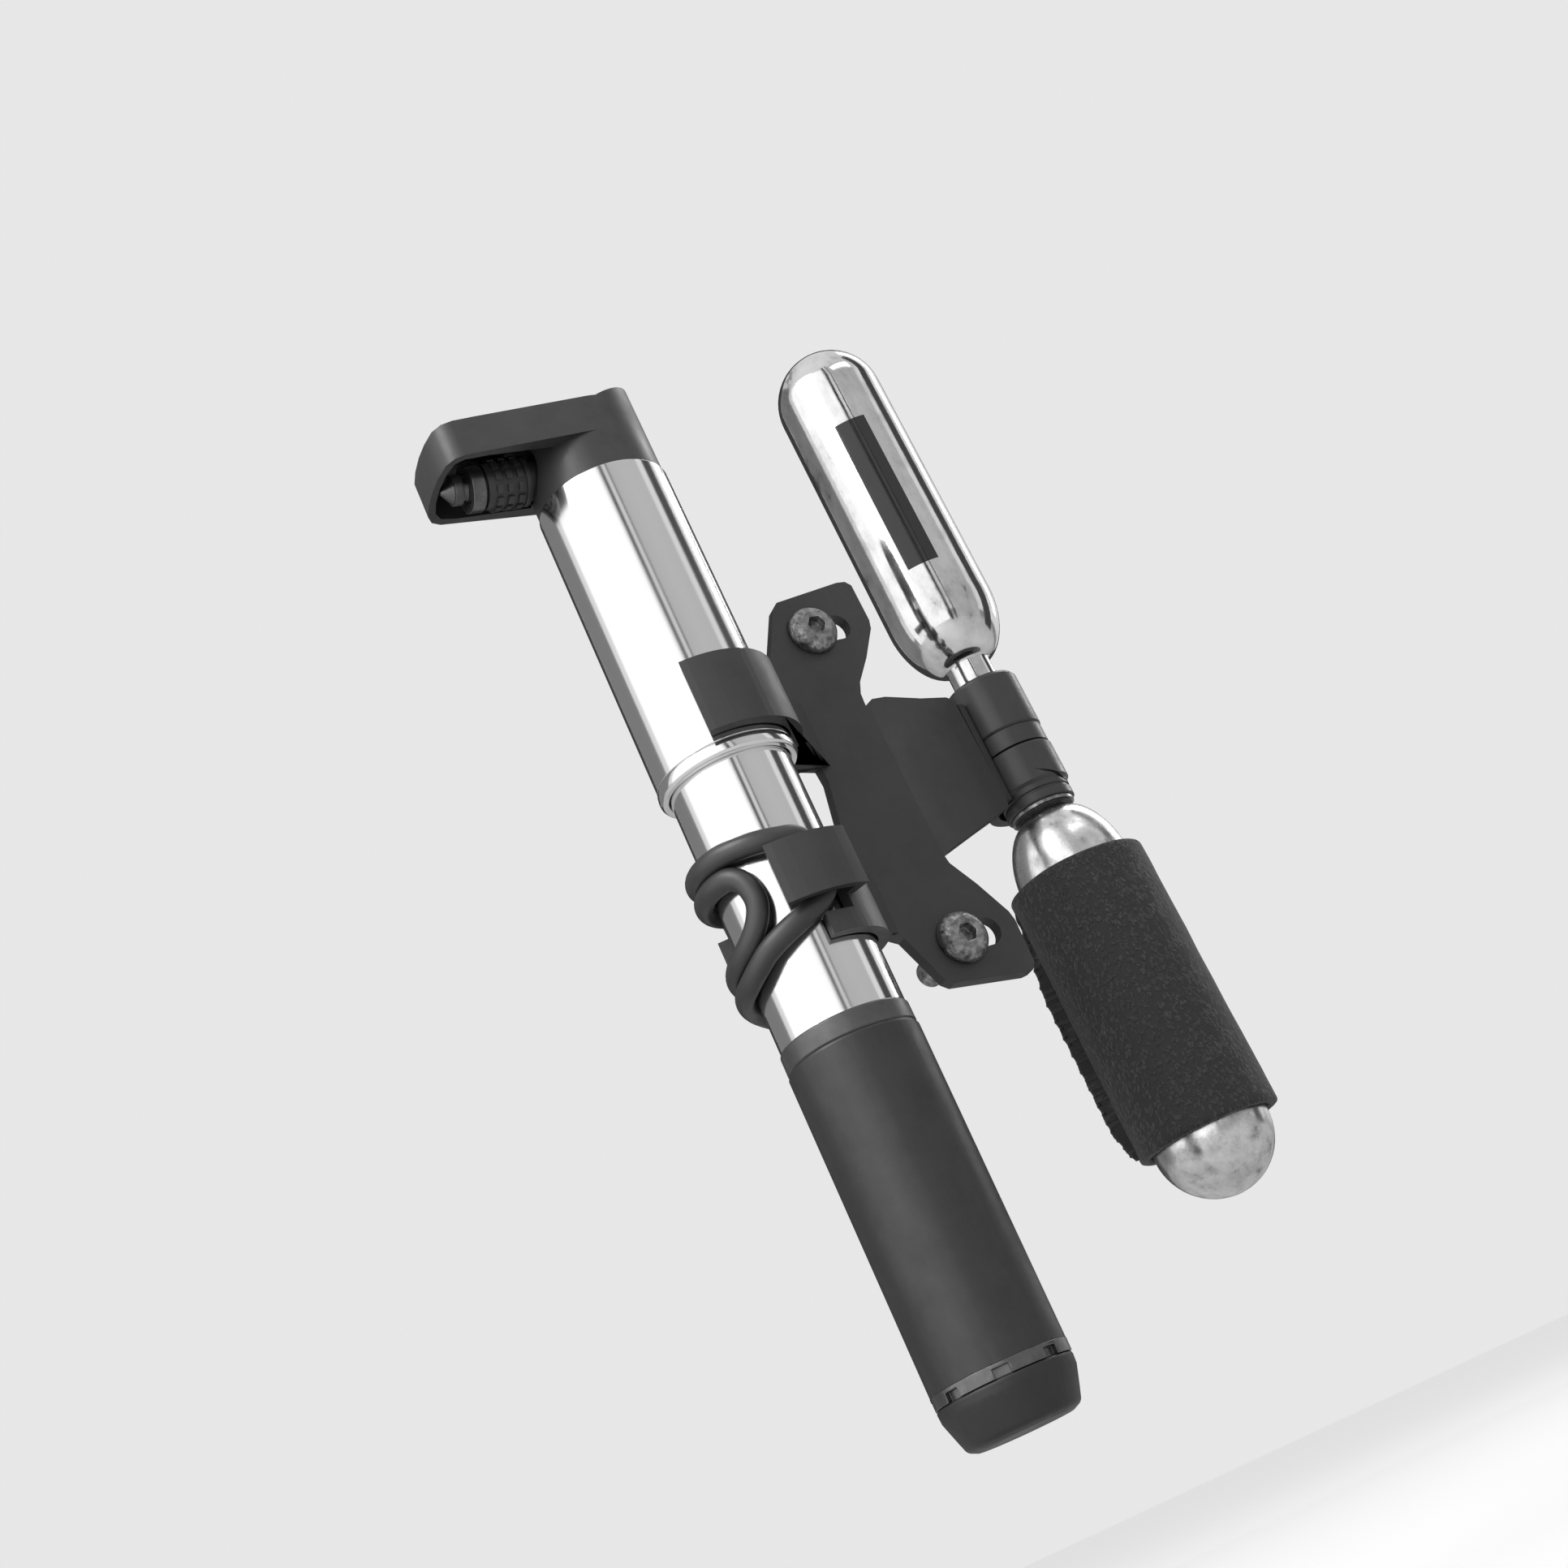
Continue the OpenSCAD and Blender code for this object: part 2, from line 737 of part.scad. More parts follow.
module control_ring() {
  color([0.26, 0.26, 0.27])
    translate([infl_x, infl_y, 0])
      difference() {
        rotate_extrude()
          polygon([
            [stem_r + 0.07, -8], [ir - 0.8, -8], [ir - 0.6, -7.8], [ir - 0.6, -6.3], [ir - 0.9, -6.1],
            [ir - 0.9, -5.8], [ir - 0.6, -5.6], [ir - 0.6, -4.6], [ir - 0.2, -4.2],
            [ir, -4], [ir, 3.2], [ir - 0.3, 3.5], [stem_r + 0.07, 3.5]
          ]);
        // slanted turning line around the ring
        rotate([0, 0, 8])
          rotate([0, 21, 0])
            translate([0, 0, -3.6])
              pipe(ir + 3, ir - 0.45, -0.25, 0.25);
      }
}

// cartridge with its neck up at z = 0, hollow
module cartridge_shape() {
  ci = cart_r - cart_wall;
  rotate_extrude()
    polygon(concat(
      [
        [0, 0], [neck_r - 0.4, 0], [neck_r, -0.4], [neck_r, -12.2],
        [neck_r + 0.9, -12.7], [neck_r + 2.9, -14.2], [cart_r - 2, -16.6],
        [cart_r - 0.9, -19.6], [cart_r - 0.25, -22.4], [cart_r, -24.8]
      ],
      [for (a = [0 : 7.5 : 90]) [cart_r * cos(a), cart_r - cart_len - cart_r * sin(a)]],
      [for (a = [90 : -7.5 : 0]) [ci * cos(a), cart_r - cart_len - ci * sin(a)]],
      [
        [ci, -25.2], [ci - 0.3, -22.8], [ci - 1, -20.3], [ci - 2.2, -17.7],
        [neck_r + 1.9, -15.6], [neck_r - 1.3, -13.4], [neck_r - 1.3, -1.2], [0, -1.2]
      ]
    ));
}

module spare_cartridge() {
  color([0.7, 0.7, 0.68])
    translate([infl_x, infl_y, spare_z0])
      rotate([180, 0, 0])
        cartridge_shape();
}

module loaded_cartridge() {
  color([0.7, 0.7, 0.68])
    translate([infl_x, infl_y, load_z1])
      cartridge_shape();
}

module thermal_sleeve() {
  color([0.07, 0.07, 0.07])
    translate([infl_x, infl_y, 0])
      difference() {
        union() {
          translate([0, 0, sleeve_z0])
            cylinder(h = sleeve_z1 - sleeve_z0, r = sleeve_ro);
          // stitched seam standing out at the side
          rotate([0, 0, 150])
            translate([sleeve_ri + 0.8, -1.1, sleeve_z0 + 0.5])
              cube([sleeve_t + 1.8, 2.2, sleeve_z1 - sleeve_z0 - 3]);
        }
        translate([0, 0, sleeve_z0 - 1])
          cylinder(h = sleeve_z1 - sleeve_z0 + 2, r = sleeve_ri);
      }
}

bracket();
bracket_bolts();
rubber_strap();
pump_head();
barrel();
barrel_end_ring();
head_seal();
piston_rod();
piston();
piston_seal();
check_valve();
chuck_neck();
chuck_sleeve();
chuck_flange();
chuck_ring();
chuck_plug();
chuck_gasket();
inner_tube();
tube_guide();
handle_collar();
handle_grip();
lock_ring();
end_cap();
tube_plug();
inflator_body();
spare_socket();
piercing_pin();
inlet_gasket();
outlet_gasket();
body_o_ring();
ring_clip();
control_ring();
spare_cartridge();
loaded_cartridge();
thermal_sleeve();
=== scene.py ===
"""Looks of a mini bicycle pump with a CO2 inflator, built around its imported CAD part."""

import json
import math

import bpy
from mathutils import Matrix, Vector


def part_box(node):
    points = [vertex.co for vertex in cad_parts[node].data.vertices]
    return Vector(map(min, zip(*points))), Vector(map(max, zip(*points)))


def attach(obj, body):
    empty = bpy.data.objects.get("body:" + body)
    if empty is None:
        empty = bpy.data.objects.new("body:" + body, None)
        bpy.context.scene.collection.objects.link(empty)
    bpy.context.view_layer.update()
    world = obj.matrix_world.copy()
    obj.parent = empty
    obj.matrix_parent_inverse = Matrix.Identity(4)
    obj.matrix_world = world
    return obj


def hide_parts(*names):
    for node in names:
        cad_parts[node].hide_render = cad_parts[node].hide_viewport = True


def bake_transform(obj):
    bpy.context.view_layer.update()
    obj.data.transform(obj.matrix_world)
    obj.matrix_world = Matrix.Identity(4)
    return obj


bl_info = {
    "name": "Mini Pump",
    "version": (1, 0, 0),
    "blender": (4, 5, 0),
    "location": "3D View > Sidebar > Mini Pump",
    "description": "Finishes the pieces of a mini bicycle pump and sets its studio",
    "category": "Object",
}

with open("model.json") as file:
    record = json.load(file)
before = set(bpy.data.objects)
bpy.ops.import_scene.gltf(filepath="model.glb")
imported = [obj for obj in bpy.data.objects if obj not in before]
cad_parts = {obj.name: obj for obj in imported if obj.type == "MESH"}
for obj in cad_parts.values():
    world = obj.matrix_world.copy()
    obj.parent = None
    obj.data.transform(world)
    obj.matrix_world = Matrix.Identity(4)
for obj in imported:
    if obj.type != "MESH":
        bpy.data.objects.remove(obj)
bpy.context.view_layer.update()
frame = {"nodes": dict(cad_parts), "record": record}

MM = 0.001

# A copied CAD piece: points nearer than this are merged, and faces flatter than this become one
MERGE_GAP = 2e-6
FLAT_ANGLE = 0.6

# A turned piece: its least radius, and the gap under which its points are merged, in millimetres
TURNED_TIP = 0.002
TURNED_GAP = 0.006


def axis_of(node):
    """The vertical line through the middle of a CAD node."""
    low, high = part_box(node)
    return (low[0] + high[0]) / 2, (low[1] + high[1]) / 2


PUMP_X, PUMP_Y = axis_of("barrel")
INFLATOR_X, INFLATOR_Y = axis_of("spare_cartridge")


# Painted reflection on the spare cartridge, a plain dark strip on the side that faces the camera: bearing,
# half width, lower and upper edge, grey
PAINTED_REFLECTION_AZIMUTH = -118
PAINTED_REFLECTION_HALF_WIDTH = 0.0032
PAINTED_REFLECTION_LOW = 0.0440
PAINTED_REFLECTION_HIGH = 0.0795
PAINTED_REFLECTION_TONE = 0.02

# ---------------------------------------------------------------- settings


class PumpFinish(bpy.types.PropertyGroup):
    """Tones and roughness of the finishes."""

    tube_tone: bpy.props.FloatProperty(
        name="Polished tube", description="Grey of the polished tubes", default=0.84, min=0, max=1
    )
    tube_roughness: bpy.props.FloatProperty(
        name="Tube roughness", description="Roughness of the polished tubes", default=0.13, min=0, max=1
    )
    dark_tone: bpy.props.FloatProperty(
        name="Anodised dark", description="Grey of the head and the grip", default=0.042, min=0, max=1
    )
    plastic_tone: bpy.props.FloatProperty(
        name="Bracket plastic", description="Grey of the moulded bracket", default=0.026, min=0, max=1
    )
    knit_tone: bpy.props.FloatProperty(
        name="Sleeve knit", description="Grey of the thermal sleeve", default=0.0085, min=0, max=1
    )
    knit_pitch: bpy.props.FloatProperty(
        name="Knit pitch", description="Width of one crinkle of the knit", default=0.00062, unit="LENGTH"
    )


class PumpStage(bpy.types.PropertyGroup):
    """Sizes and light levels of the studio."""

    floor_height: bpy.props.FloatProperty(
        name="Floor height", description="Height of the floor", default=-0.16, unit="LENGTH"
    )
    floor_tone: bpy.props.FloatProperty(
        name="Floor tone", description="Grey of the floor", default=0.5, min=0, max=1
    )
    floor_lift: bpy.props.FloatProperty(
        name="Floor lift", description="Extra paleness of the floor toward its far edge", default=0.46
    )
    key_power: bpy.props.FloatProperty(
        name="Key light", description="Power of the key softbox", default=9.0, unit="POWER"
    )
    fill_power: bpy.props.FloatProperty(
        name="Fill light", description="Power of the fill softbox", default=3.0, unit="POWER"
    )
    rim_power: bpy.props.FloatProperty(
        name="Rim light", description="Power of the rim strip", default=2.0, unit="POWER"
    )
    lens: bpy.props.FloatProperty(
        name="Lens", description="Focal length of the camera in millimetres", default=45.9
    )


# ---------------------------------------------------------------- modelling helpers


def deselect():
    """Leaves edit mode and selects nothing."""
    if bpy.context.object and bpy.context.object.mode != "OBJECT":
        bpy.ops.object.mode_set(mode="OBJECT")
    bpy.ops.object.select_all(action="DESELECT")


def pick(piece):
    """Selects one piece alone and makes it the active one."""
    deselect()
    piece.select_set(True)
    bpy.context.view_layer.objects.active = piece


def settle(piece):
    """Puts the piece's place into its mesh, so that its object sits at the origin."""
    pick(piece)
    bpy.ops.object.transform_apply(location=True, rotation=True, scale=True)


def apply_bevel(piece, width, segments=3, angle=30):
    """Rounds every edge sharper than an angle in degrees."""
    pick(piece)
    bevel = piece.modifiers.new("Edge", "BEVEL")
    bevel.width = width
    bevel.segments = segments
    bevel.limit_method = "ANGLE"
    bevel.angle_limit = math.radians(angle)
    bevel.harden_normals = False
    bevel.miter_outer = "MITER_ARC"
    bpy.ops.object.modifier_apply(modifier=bevel.name)


def smooth(piece, angle=32):
    """Shades a piece smooth and keeps edges above an angle in degrees sharp."""
    pick(piece)
    bpy.ops.object.shade_smooth_by_angle(angle=math.radians(angle))


def place(piece, body, slot, material, *nodes):
    """Gives the piece its finish and lets it ride on its body in place of the CAD nodes."""
    piece.data.materials.clear()
    piece.data.materials.append(material)
    if nodes:
        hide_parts(*nodes)
    if body:
        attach(piece, body)
    return piece


def softened(node, name, width, segments=3, angle=30, smoothing=32):
    """A merged copy of a CAD piece with rounded edges."""
    deselect()
    source = frame["nodes"][node]
    source.select_set(True)
    bpy.context.view_layer.objects.active = source
    bpy.ops.object.duplicate()
    piece = bpy.context.object
    piece.name = name
    piece.data.name = name
    for key in list(piece.keys()):
        del piece[key]
    piece.parent = None
    bpy.ops.object.mode_set(mode="EDIT")
    bpy.ops.mesh.select_all(action="SELECT")
    bpy.ops.mesh.remove_doubles(threshold=MERGE_GAP)
    bpy.ops.mesh.dissolve_limited(angle_limit=math.radians(FLAT_ANGLE))
    bpy.ops.object.mode_set(mode="OBJECT")
    if width:
        apply_bevel(piece, width, segments, angle)
    smooth(piece, smoothing)
    pick(piece)
    even = piece.modifiers.new("Even", "WEIGHTED_NORMAL")
    even.keep_sharp = True
    bpy.ops.object.modifier_apply(modifier=even.name)
    return piece


def turned(name, x, y, stations, segments=128):
    """A turned piece: a circle carried up through stations of radius and height, in millimetres."""
    rings = [(max(r, TURNED_TIP) * MM, z * MM) for r, z in stations]
    deselect()
    bpy.ops.mesh.primitive_circle_add(
        vertices=segments, radius=rings[0][0], location=(0, 0, rings[0][1]), fill_type="NOTHING"
    )
    piece = bpy.context.object
    piece.name = name
    piece.data.name = name
    bpy.ops.object.mode_set(mode="EDIT")
    bpy.ops.mesh.select_all(action="SELECT")
    for (ra, za), (rb, zb) in zip(rings, rings[1:]):
        bpy.ops.mesh.extrude_edges_move(TRANSFORM_OT_translate={"value": (0, 0, zb - za)})
        bpy.ops.transform.resize(value=(rb / ra, rb / ra, 1), center_override=(0, 0, zb))
    bpy.ops.mesh.select_all(action="SELECT")
    bpy.ops.mesh.remove_doubles(threshold=TURNED_GAP * MM)
    bpy.ops.mesh.normals_make_consistent(inside=False)
    bpy.ops.object.mode_set(mode="OBJECT")
    piece.location = (x, y, rings[0][1])
    settle(piece)
    return piece


def shift(piece, move):
    """Moves each point of a piece to move(point)."""
    for vertex in piece.data.vertices:
        vertex.co = move(vertex.co.copy())
    piece.data.update()


def ripple(piece, size, height):
    """Uneven drape of a stretched fabric."""
    clouds = bpy.data.textures.new(piece.name, "CLOUDS")
    clouds.noise_scale = size
    clouds.noise_depth = 2
    pick(piece)
    wave = piece.modifiers.new("Ripple", "DISPLACE")
    wave.texture = clouds
    wave.strength = height
    wave.mid_level = 0.5
    bpy.ops.object.modifier_apply(modifier=wave.name)


def joined(name, pieces):
    """One mesh made of several."""
    deselect()
    for piece in pieces:
        piece.select_set(True)
    bpy.context.view_layer.objects.active = pieces[0]
    bpy.ops.object.join()
    whole = bpy.context.object
    whole.name = name
    whole.data.name = name
    return whole


def polar(azimuth, radius, height, x=0.0, y=0.0):
    """A point about an upright line, from degrees and millimetres."""
    a = math.radians(azimuth)
    return Vector((x + radius * MM * math.cos(a), y + radius * MM * math.sin(a), height * MM))


# ---------------------------------------------------------------- materials


def new_group(name, inputs, outputs):
    """A new shader group with named inputs and outputs, and the nodes that carry them."""
    group = bpy.data.node_groups.new(name, "ShaderNodeTree")
    for label, kind, value in inputs:
        socket = group.interface.new_socket(name=label, in_out="INPUT", socket_type=kind)
        if value is not None:
            socket.default_value = value
    for label, kind in outputs:
        group.interface.new_socket(name=label, in_out="OUTPUT", socket_type=kind)
    return group, group.nodes.new("NodeGroupInput"), group.nodes.new("NodeGroupOutput")


def build_mottle():
    """A slow and a fine cloud mixed into one tone between two limits, and a mask."""
    group, given, out = new_group(
        "Mottle",
        [
            ("Dark", "NodeSocketColor", (0.02, 0.02, 0.02, 1)),
            ("Light", "NodeSocketColor", (0.08, 0.08, 0.08, 1)),
            ("Scale", "NodeSocketFloat", 60.0),
            ("Stretch", "NodeSocketVector", (1.0, 1.0, 1.0)),
            ("Contrast", "NodeSocketFloat", 1.0),
        ],
        [("Color", "NodeSocketColor"), ("Mask", "NodeSocketFloat")],
    )
    nodes, links = group.nodes, group.links
    where = nodes.new("ShaderNodeTexCoord")
    stretch = nodes.new("ShaderNodeVectorMath")
    stretch.operation = "MULTIPLY"
    links.new(where.outputs["Object"], stretch.inputs[0])
    links.new(given.outputs["Stretch"], stretch.inputs[1])
    slow = nodes.new("ShaderNodeTexNoise")
    slow.inputs["Detail"].default_value = 6
    slow.inputs["Roughness"].default_value = 0.62
    links.new(stretch.outputs[0], slow.inputs["Vector"])
    links.new(given.outputs["Scale"], slow.inputs["Scale"])
    spread = nodes.new("ShaderNodeMapRange")
    spread.inputs["From Min"].default_value = 0.32
    spread.inputs["From Max"].default_value = 0.68
    links.new(slow.outputs["Fac"], spread.inputs["Value"])
    power = nodes.new("ShaderNodeMath")
    power.operation = "POWER"
    links.new(spread.outputs["Result"], power.inputs[0])
    links.new(given.outputs["Contrast"], power.inputs[1])
    mix = nodes.new("ShaderNodeMix")
    mix.data_type = "RGBA"
    links.new(power.outputs[0], mix.inputs["Factor"])
    links.new(given.outputs["Dark"], mix.inputs[6])
    links.new(given.outputs["Light"], mix.inputs[7])
    links.new(mix.outputs[2], out.inputs["Color"])
    links.new(power.outputs[0], out.inputs["Mask"])
    return group


def build_grain():
    """Fine moulded or blasted grain as a normal, with a matching mask."""
    group, given, out = new_group(
        "Grain",
        [
            ("Scale", "NodeSocketFloat", 3000.0),
            ("Strength", "NodeSocketFloat", 0.2),
            ("Height", "NodeSocketFloat", 0.00005),
            ("Stretch", "NodeSocketVector", (1.0, 1.0, 1.0)),
        ],
        [("Normal", "NodeSocketVector"), ("Mask", "NodeSocketFloat")],
    )
    nodes, links = group.nodes, group.links
    where = nodes.new("ShaderNodeTexCoord")
    stretch = nodes.new("ShaderNodeVectorMath")
    stretch.operation = "MULTIPLY"
    links.new(where.outputs["Object"], stretch.inputs[0])
    links.new(given.outputs["Stretch"], stretch.inputs[1])
    noise = nodes.new("ShaderNodeTexNoise")
    noise.inputs["Detail"].default_value = 3
    links.new(stretch.outputs[0], noise.inputs["Vector"])
    links.new(given.outputs["Scale"], noise.inputs["Scale"])
    bump = nodes.new("ShaderNodeBump")
    links.new(given.outputs["Strength"], bump.inputs["Strength"])
    links.new(given.outputs["Height"], bump.inputs["Distance"])
    links.new(noise.outputs["Fac"], bump.inputs["Height"])
    links.new(bump.outputs["Normal"], out.inputs["Normal"])
    links.new(noise.outputs["Fac"], out.inputs["Mask"])
    return group


def build_knit():
    """Crinkled jersey laid round an upright line, as a normal and a mask of the raised threads."""
    group, given, out = new_group(
        "Knit",
        [
            ("Centre", "NodeSocketVector", (0.0, 0.0, 0.0)),
            ("Radius", "NodeSocketFloat", 0.013),
            ("Pitch", "NodeSocketFloat", 0.0009),
            ("Height", "NodeSocketFloat", 0.00025),
        ],
        [("Normal", "NodeSocketVector"), ("Mask", "NodeSocketFloat")],
    )
    nodes, links = group.nodes, group.links

    def maths(operation, first, second=None):
        node = nodes.new("ShaderNodeMath")
        node.operation = operation
        for socket, value in zip(node.inputs, (first, second)):
            if isinstance(value, (int, float)):
                socket.default_value = value
            elif value is not None:
                links.new(value, socket)
        return node.outputs[0]

    where = nodes.new("ShaderNodeTexCoord")
    offset = nodes.new("ShaderNodeVectorMath")
    offset.operation = "SUBTRACT"
    links.new(where.outputs["Object"], offset.inputs[0])
    links.new(given.outputs["Centre"], offset.inputs[1])
    parts = nodes.new("ShaderNodeSeparateXYZ")
    links.new(offset.outputs[0], parts.inputs[0])
    turn = maths("ARCTAN2", parts.outputs["Y"], parts.outputs["X"])
    arc = maths("MULTIPLY", turn, given.outputs["Radius"])
    rate = maths("DIVIDE", 1.0, given.outputs["Pitch"])
    across = maths("MULTIPLY", arc, rate)
    along = maths("MULTIPLY", maths("MULTIPLY", parts.outputs["Z"], rate), 0.62)
    flat = nodes.new("ShaderNodeCombineXYZ")
    links.new(across, flat.inputs["X"])
    links.new(along, flat.inputs["Y"])
    bend = nodes.new("ShaderNodeTexNoise")
    bend.inputs["Scale"].default_value = 0.9
    bend.inputs["Detail"].default_value = 3
    links.new(flat.outputs[0], bend.inputs["Vector"])
    warp = nodes.new("ShaderNodeVectorMath")
    warp.operation = "MULTIPLY_ADD"
    warp.inputs[1].default_value = (2.2, 2.2, 0)
    links.new(bend.outputs["Color"], warp.inputs[0])
    links.new(flat.outputs[0], warp.inputs[2])
    loops = nodes.new("ShaderNodeTexVoronoi")
    loops.feature = "SMOOTH_F1"
    loops.inputs["Scale"].default_value = 1.0
    loops.inputs["Smoothness"].default_value = 0.35
    links.new(warp.outputs[0], loops.inputs["Vector"])
    raised_and_highlight = nodes.new("ShaderNodeMapRange")
    raised_and_highlight.interpolation_type = "SMOOTHSTEP"
    raised_and_highlight.inputs["From Min"].default_value = 0.62
    raised_and_highlight.inputs["From Max"].default_value = 0.12
    links.new(loops.outputs["Distance"], raised_and_highlight.inputs["Value"])
    bump = nodes.new("ShaderNodeBump")
    bump.inputs["Strength"].default_value = 1.0
    links.new(given.outputs["Height"], bump.inputs["Distance"])
    links.new(raised_and_highlight.outputs["Result"], bump.inputs["Height"])
    links.new(bump.outputs["Normal"], out.inputs["Normal"])
    links.new(raised_and_highlight.outputs["Result"], out.inputs["Mask"])
    return group


def knit_fabric(name, deep, raised_and_highlight):
    """Dark jersey with painted light: its raised threads are painted paler as a highlight, and the hollows
    between them darker as painted shade.
    """
    material = bpy.data.materials.new(name)
    material.use_nodes = True
    tree = material.node_tree
    shader = tree.nodes["Principled BSDF"]
    shader.inputs["Roughness"].default_value = 0.72
    shader.inputs["Sheen Weight"].default_value = 0.12
    shader.inputs["Sheen Roughness"].default_value = 0.5
    look = bpy.context.scene.pump_finish
    centre = (INFLATOR_X, INFLATOR_Y, 0)
    knit = group_node(
        tree, "Knit", Centre=centre, Radius=SLEEVE_OUTER * MM, Pitch=look.knit_pitch
    )
    drift = group_node(
        tree, "Mottle", Dark=grey(deep), Light=grey(raised_and_highlight), Scale=700.0, Stretch=(1, 1, 0.6)
    )
    # Painted shade: the hollows of the knit take half the base grey; painted highlight: the raised threads
    # take the paler mottle.
    shade = tree.nodes.new("ShaderNodeMix")
    shade.data_type = "RGBA"
    shade.inputs[6].default_value = grey(deep * 0.5)
    tree.links.new(knit.outputs["Mask"], shade.inputs["Factor"])
    tree.links.new(drift.outputs["Color"], shade.inputs[7])
    tree.links.new(shade.outputs[2], shader.inputs["Base Color"])
    tree.links.new(knit.outputs["Normal"], shader.inputs["Normal"])
    return material


def build_painted_reflection():
    """Mask of one painted reflection, a plain strip on a round wall, between two bearings and two heights.
    """
    group, given, out = new_group(
        "Patch",
        [
            ("Centre", "NodeSocketVector", (0.0, 0.0, 0.0)),
            ("Facing", "NodeSocketVector", (0.0, -1.0, 0.0)),
            ("Half width", "NodeSocketFloat", 0.003),
            ("Low", "NodeSocketFloat", 0.0),
            ("High", "NodeSocketFloat", 0.01),
        ],
        [("Mask", "NodeSocketFloat")],
    )
    nodes, links = group.nodes, group.links

    def step(socket, edge, above):
        node = nodes.new("ShaderNodeMath")
        node.operation = "GREATER_THAN" if above else "LESS_THAN"
        links.new(socket, node.inputs[0])
        links.new(edge, node.inputs[1])
        return node.outputs[0]

    def both(first, second):
        node = nodes.new("ShaderNodeMath")
        node.operation = "MULTIPLY"
        links.new(first, node.inputs[0])
        links.new(second, node.inputs[1])
        return node.outputs[0]

    where = nodes.new("ShaderNodeTexCoord")
    offset = nodes.new("ShaderNodeVectorMath")
    offset.operation = "SUBTRACT"
    links.new(where.outputs["Object"], offset.inputs[0])
    links.new(given.outputs["Centre"], offset.inputs[1])
    front = nodes.new("ShaderNodeVectorMath")
    front.operation = "DOT_PRODUCT"
    links.new(offset.outputs[0], front.inputs[0])
    links.new(given.outputs["Facing"], front.inputs[1])
    side = nodes.new("ShaderNodeVectorMath")
    side.operation = "CROSS_PRODUCT"
    links.new(offset.outputs[0], side.inputs[0])
    links.new(given.outputs["Facing"], side.inputs[1])
    parts = nodes.new("ShaderNodeSeparateXYZ")
    links.new(offset.outputs[0], parts.inputs[0])
    aside = nodes.new("ShaderNodeSeparateXYZ")
    links.new(side.outputs[0], aside.inputs[0])
    spread = nodes.new("ShaderNodeMath")
    spread.operation = "ABSOLUTE"
    links.new(aside.outputs["Z"], spread.inputs[0])
    ahead = nodes.new("ShaderNodeMath")
    ahead.operation = "GREATER_THAN"
    ahead.inputs[1].default_value = 0.0
    links.new(front.outputs["Value"], ahead.inputs[0])
    inside = both(
        both(
            step(spread.outputs[0], given.outputs["Half width"], False),
            ahead.outputs[0],
        ),
        both(
            step(parts.outputs["Z"], given.outputs["Low"], True),
            step(parts.outputs["Z"], given.outputs["High"], False),
        ),
    )
    links.new(inside, out.inputs["Mask"])
    return group


def add_painted_reflection(material, azimuth, half_width, low, high, tone):
    """Paints a plain dark strip over the finish of a cartridge: a painted reflection, dark and not
    metallic.
    """
    tree = material.node_tree
    shader = tree.nodes["Principled BSDF"]
    a = math.radians(azimuth)
    painted_reflection = group_node(
        tree, "Patch", Centre=(INFLATOR_X, INFLATOR_Y, 0), Facing=(math.cos(a), math.sin(a), 0)
    )
    for label, value in (("Half width", half_width), ("Low", low), ("High", high)):
        painted_reflection.inputs[label].default_value = value
    under = shader.inputs["Base Color"].links[0].from_socket
    colour = tree.nodes.new("ShaderNodeMix")
    colour.data_type = "RGBA"
    colour.inputs[7].default_value = grey(tone)
    tree.links.new(painted_reflection.outputs["Mask"], colour.inputs["Factor"])
    tree.links.new(under, colour.inputs[6])
    tree.links.new(colour.outputs[2], shader.inputs["Base Color"])
    metal = tree.nodes.new("ShaderNodeMath")
    metal.operation = "SUBTRACT"
    metal.inputs[0].default_value = 1.0
    tree.links.new(painted_reflection.outputs["Mask"], metal.inputs[1])
    tree.links.new(metal.outputs[0], shader.inputs["Metallic"])


def group_node(tree, name, **values):
    """Puts a shader group into a material, with its inputs set."""
    node = tree.nodes.new("ShaderNodeGroup")
    node.node_tree = bpy.data.node_groups[name]
    for label, value in values.items():
        node.inputs[label].default_value = value
    return node


def grey(tone):
    """A neutral colour of this tone."""
    return (tone, tone, tone, 1)


def finish(
    name, dark, light, roughness, metallic=0.0, mottle=60, stretch=(1, 1, 1), contrast=1.0,
    grain=None, swing=0.08,
):
    """A surface whose tone and roughness drift over it.

    grain is optional: its scale, strength and height.
    """
    material = bpy.data.materials.new(name)
    material.use_nodes = True
    tree = material.node_tree
    shader = tree.nodes["Principled BSDF"]
    shader.inputs["Metallic"].default_value = metallic
    drift = group_node(
        tree, "Mottle", Dark=dark, Light=light, Scale=mottle, Stretch=stretch, Contrast=contrast
    )
    tree.links.new(drift.outputs["Color"], shader.inputs["Base Color"])
    rough = tree.nodes.new("ShaderNodeMapRange")
    rough.inputs["To Min"].default_value = roughness + swing
    rough.inputs["To Max"].default_value = max(roughness - swing, 0.02)
    tree.links.new(drift.outputs["Mask"], rough.inputs["Value"])
    tree.links.new(rough.outputs["Result"], shader.inputs["Roughness"])
    if grain:
        scale, strength, height = grain
        texture = group_node(tree, "Grain", Scale=scale, Strength=strength, Height=height, Stretch=stretch)
        tree.links.new(texture.outputs["Normal"], shader.inputs["Normal"])
    return material


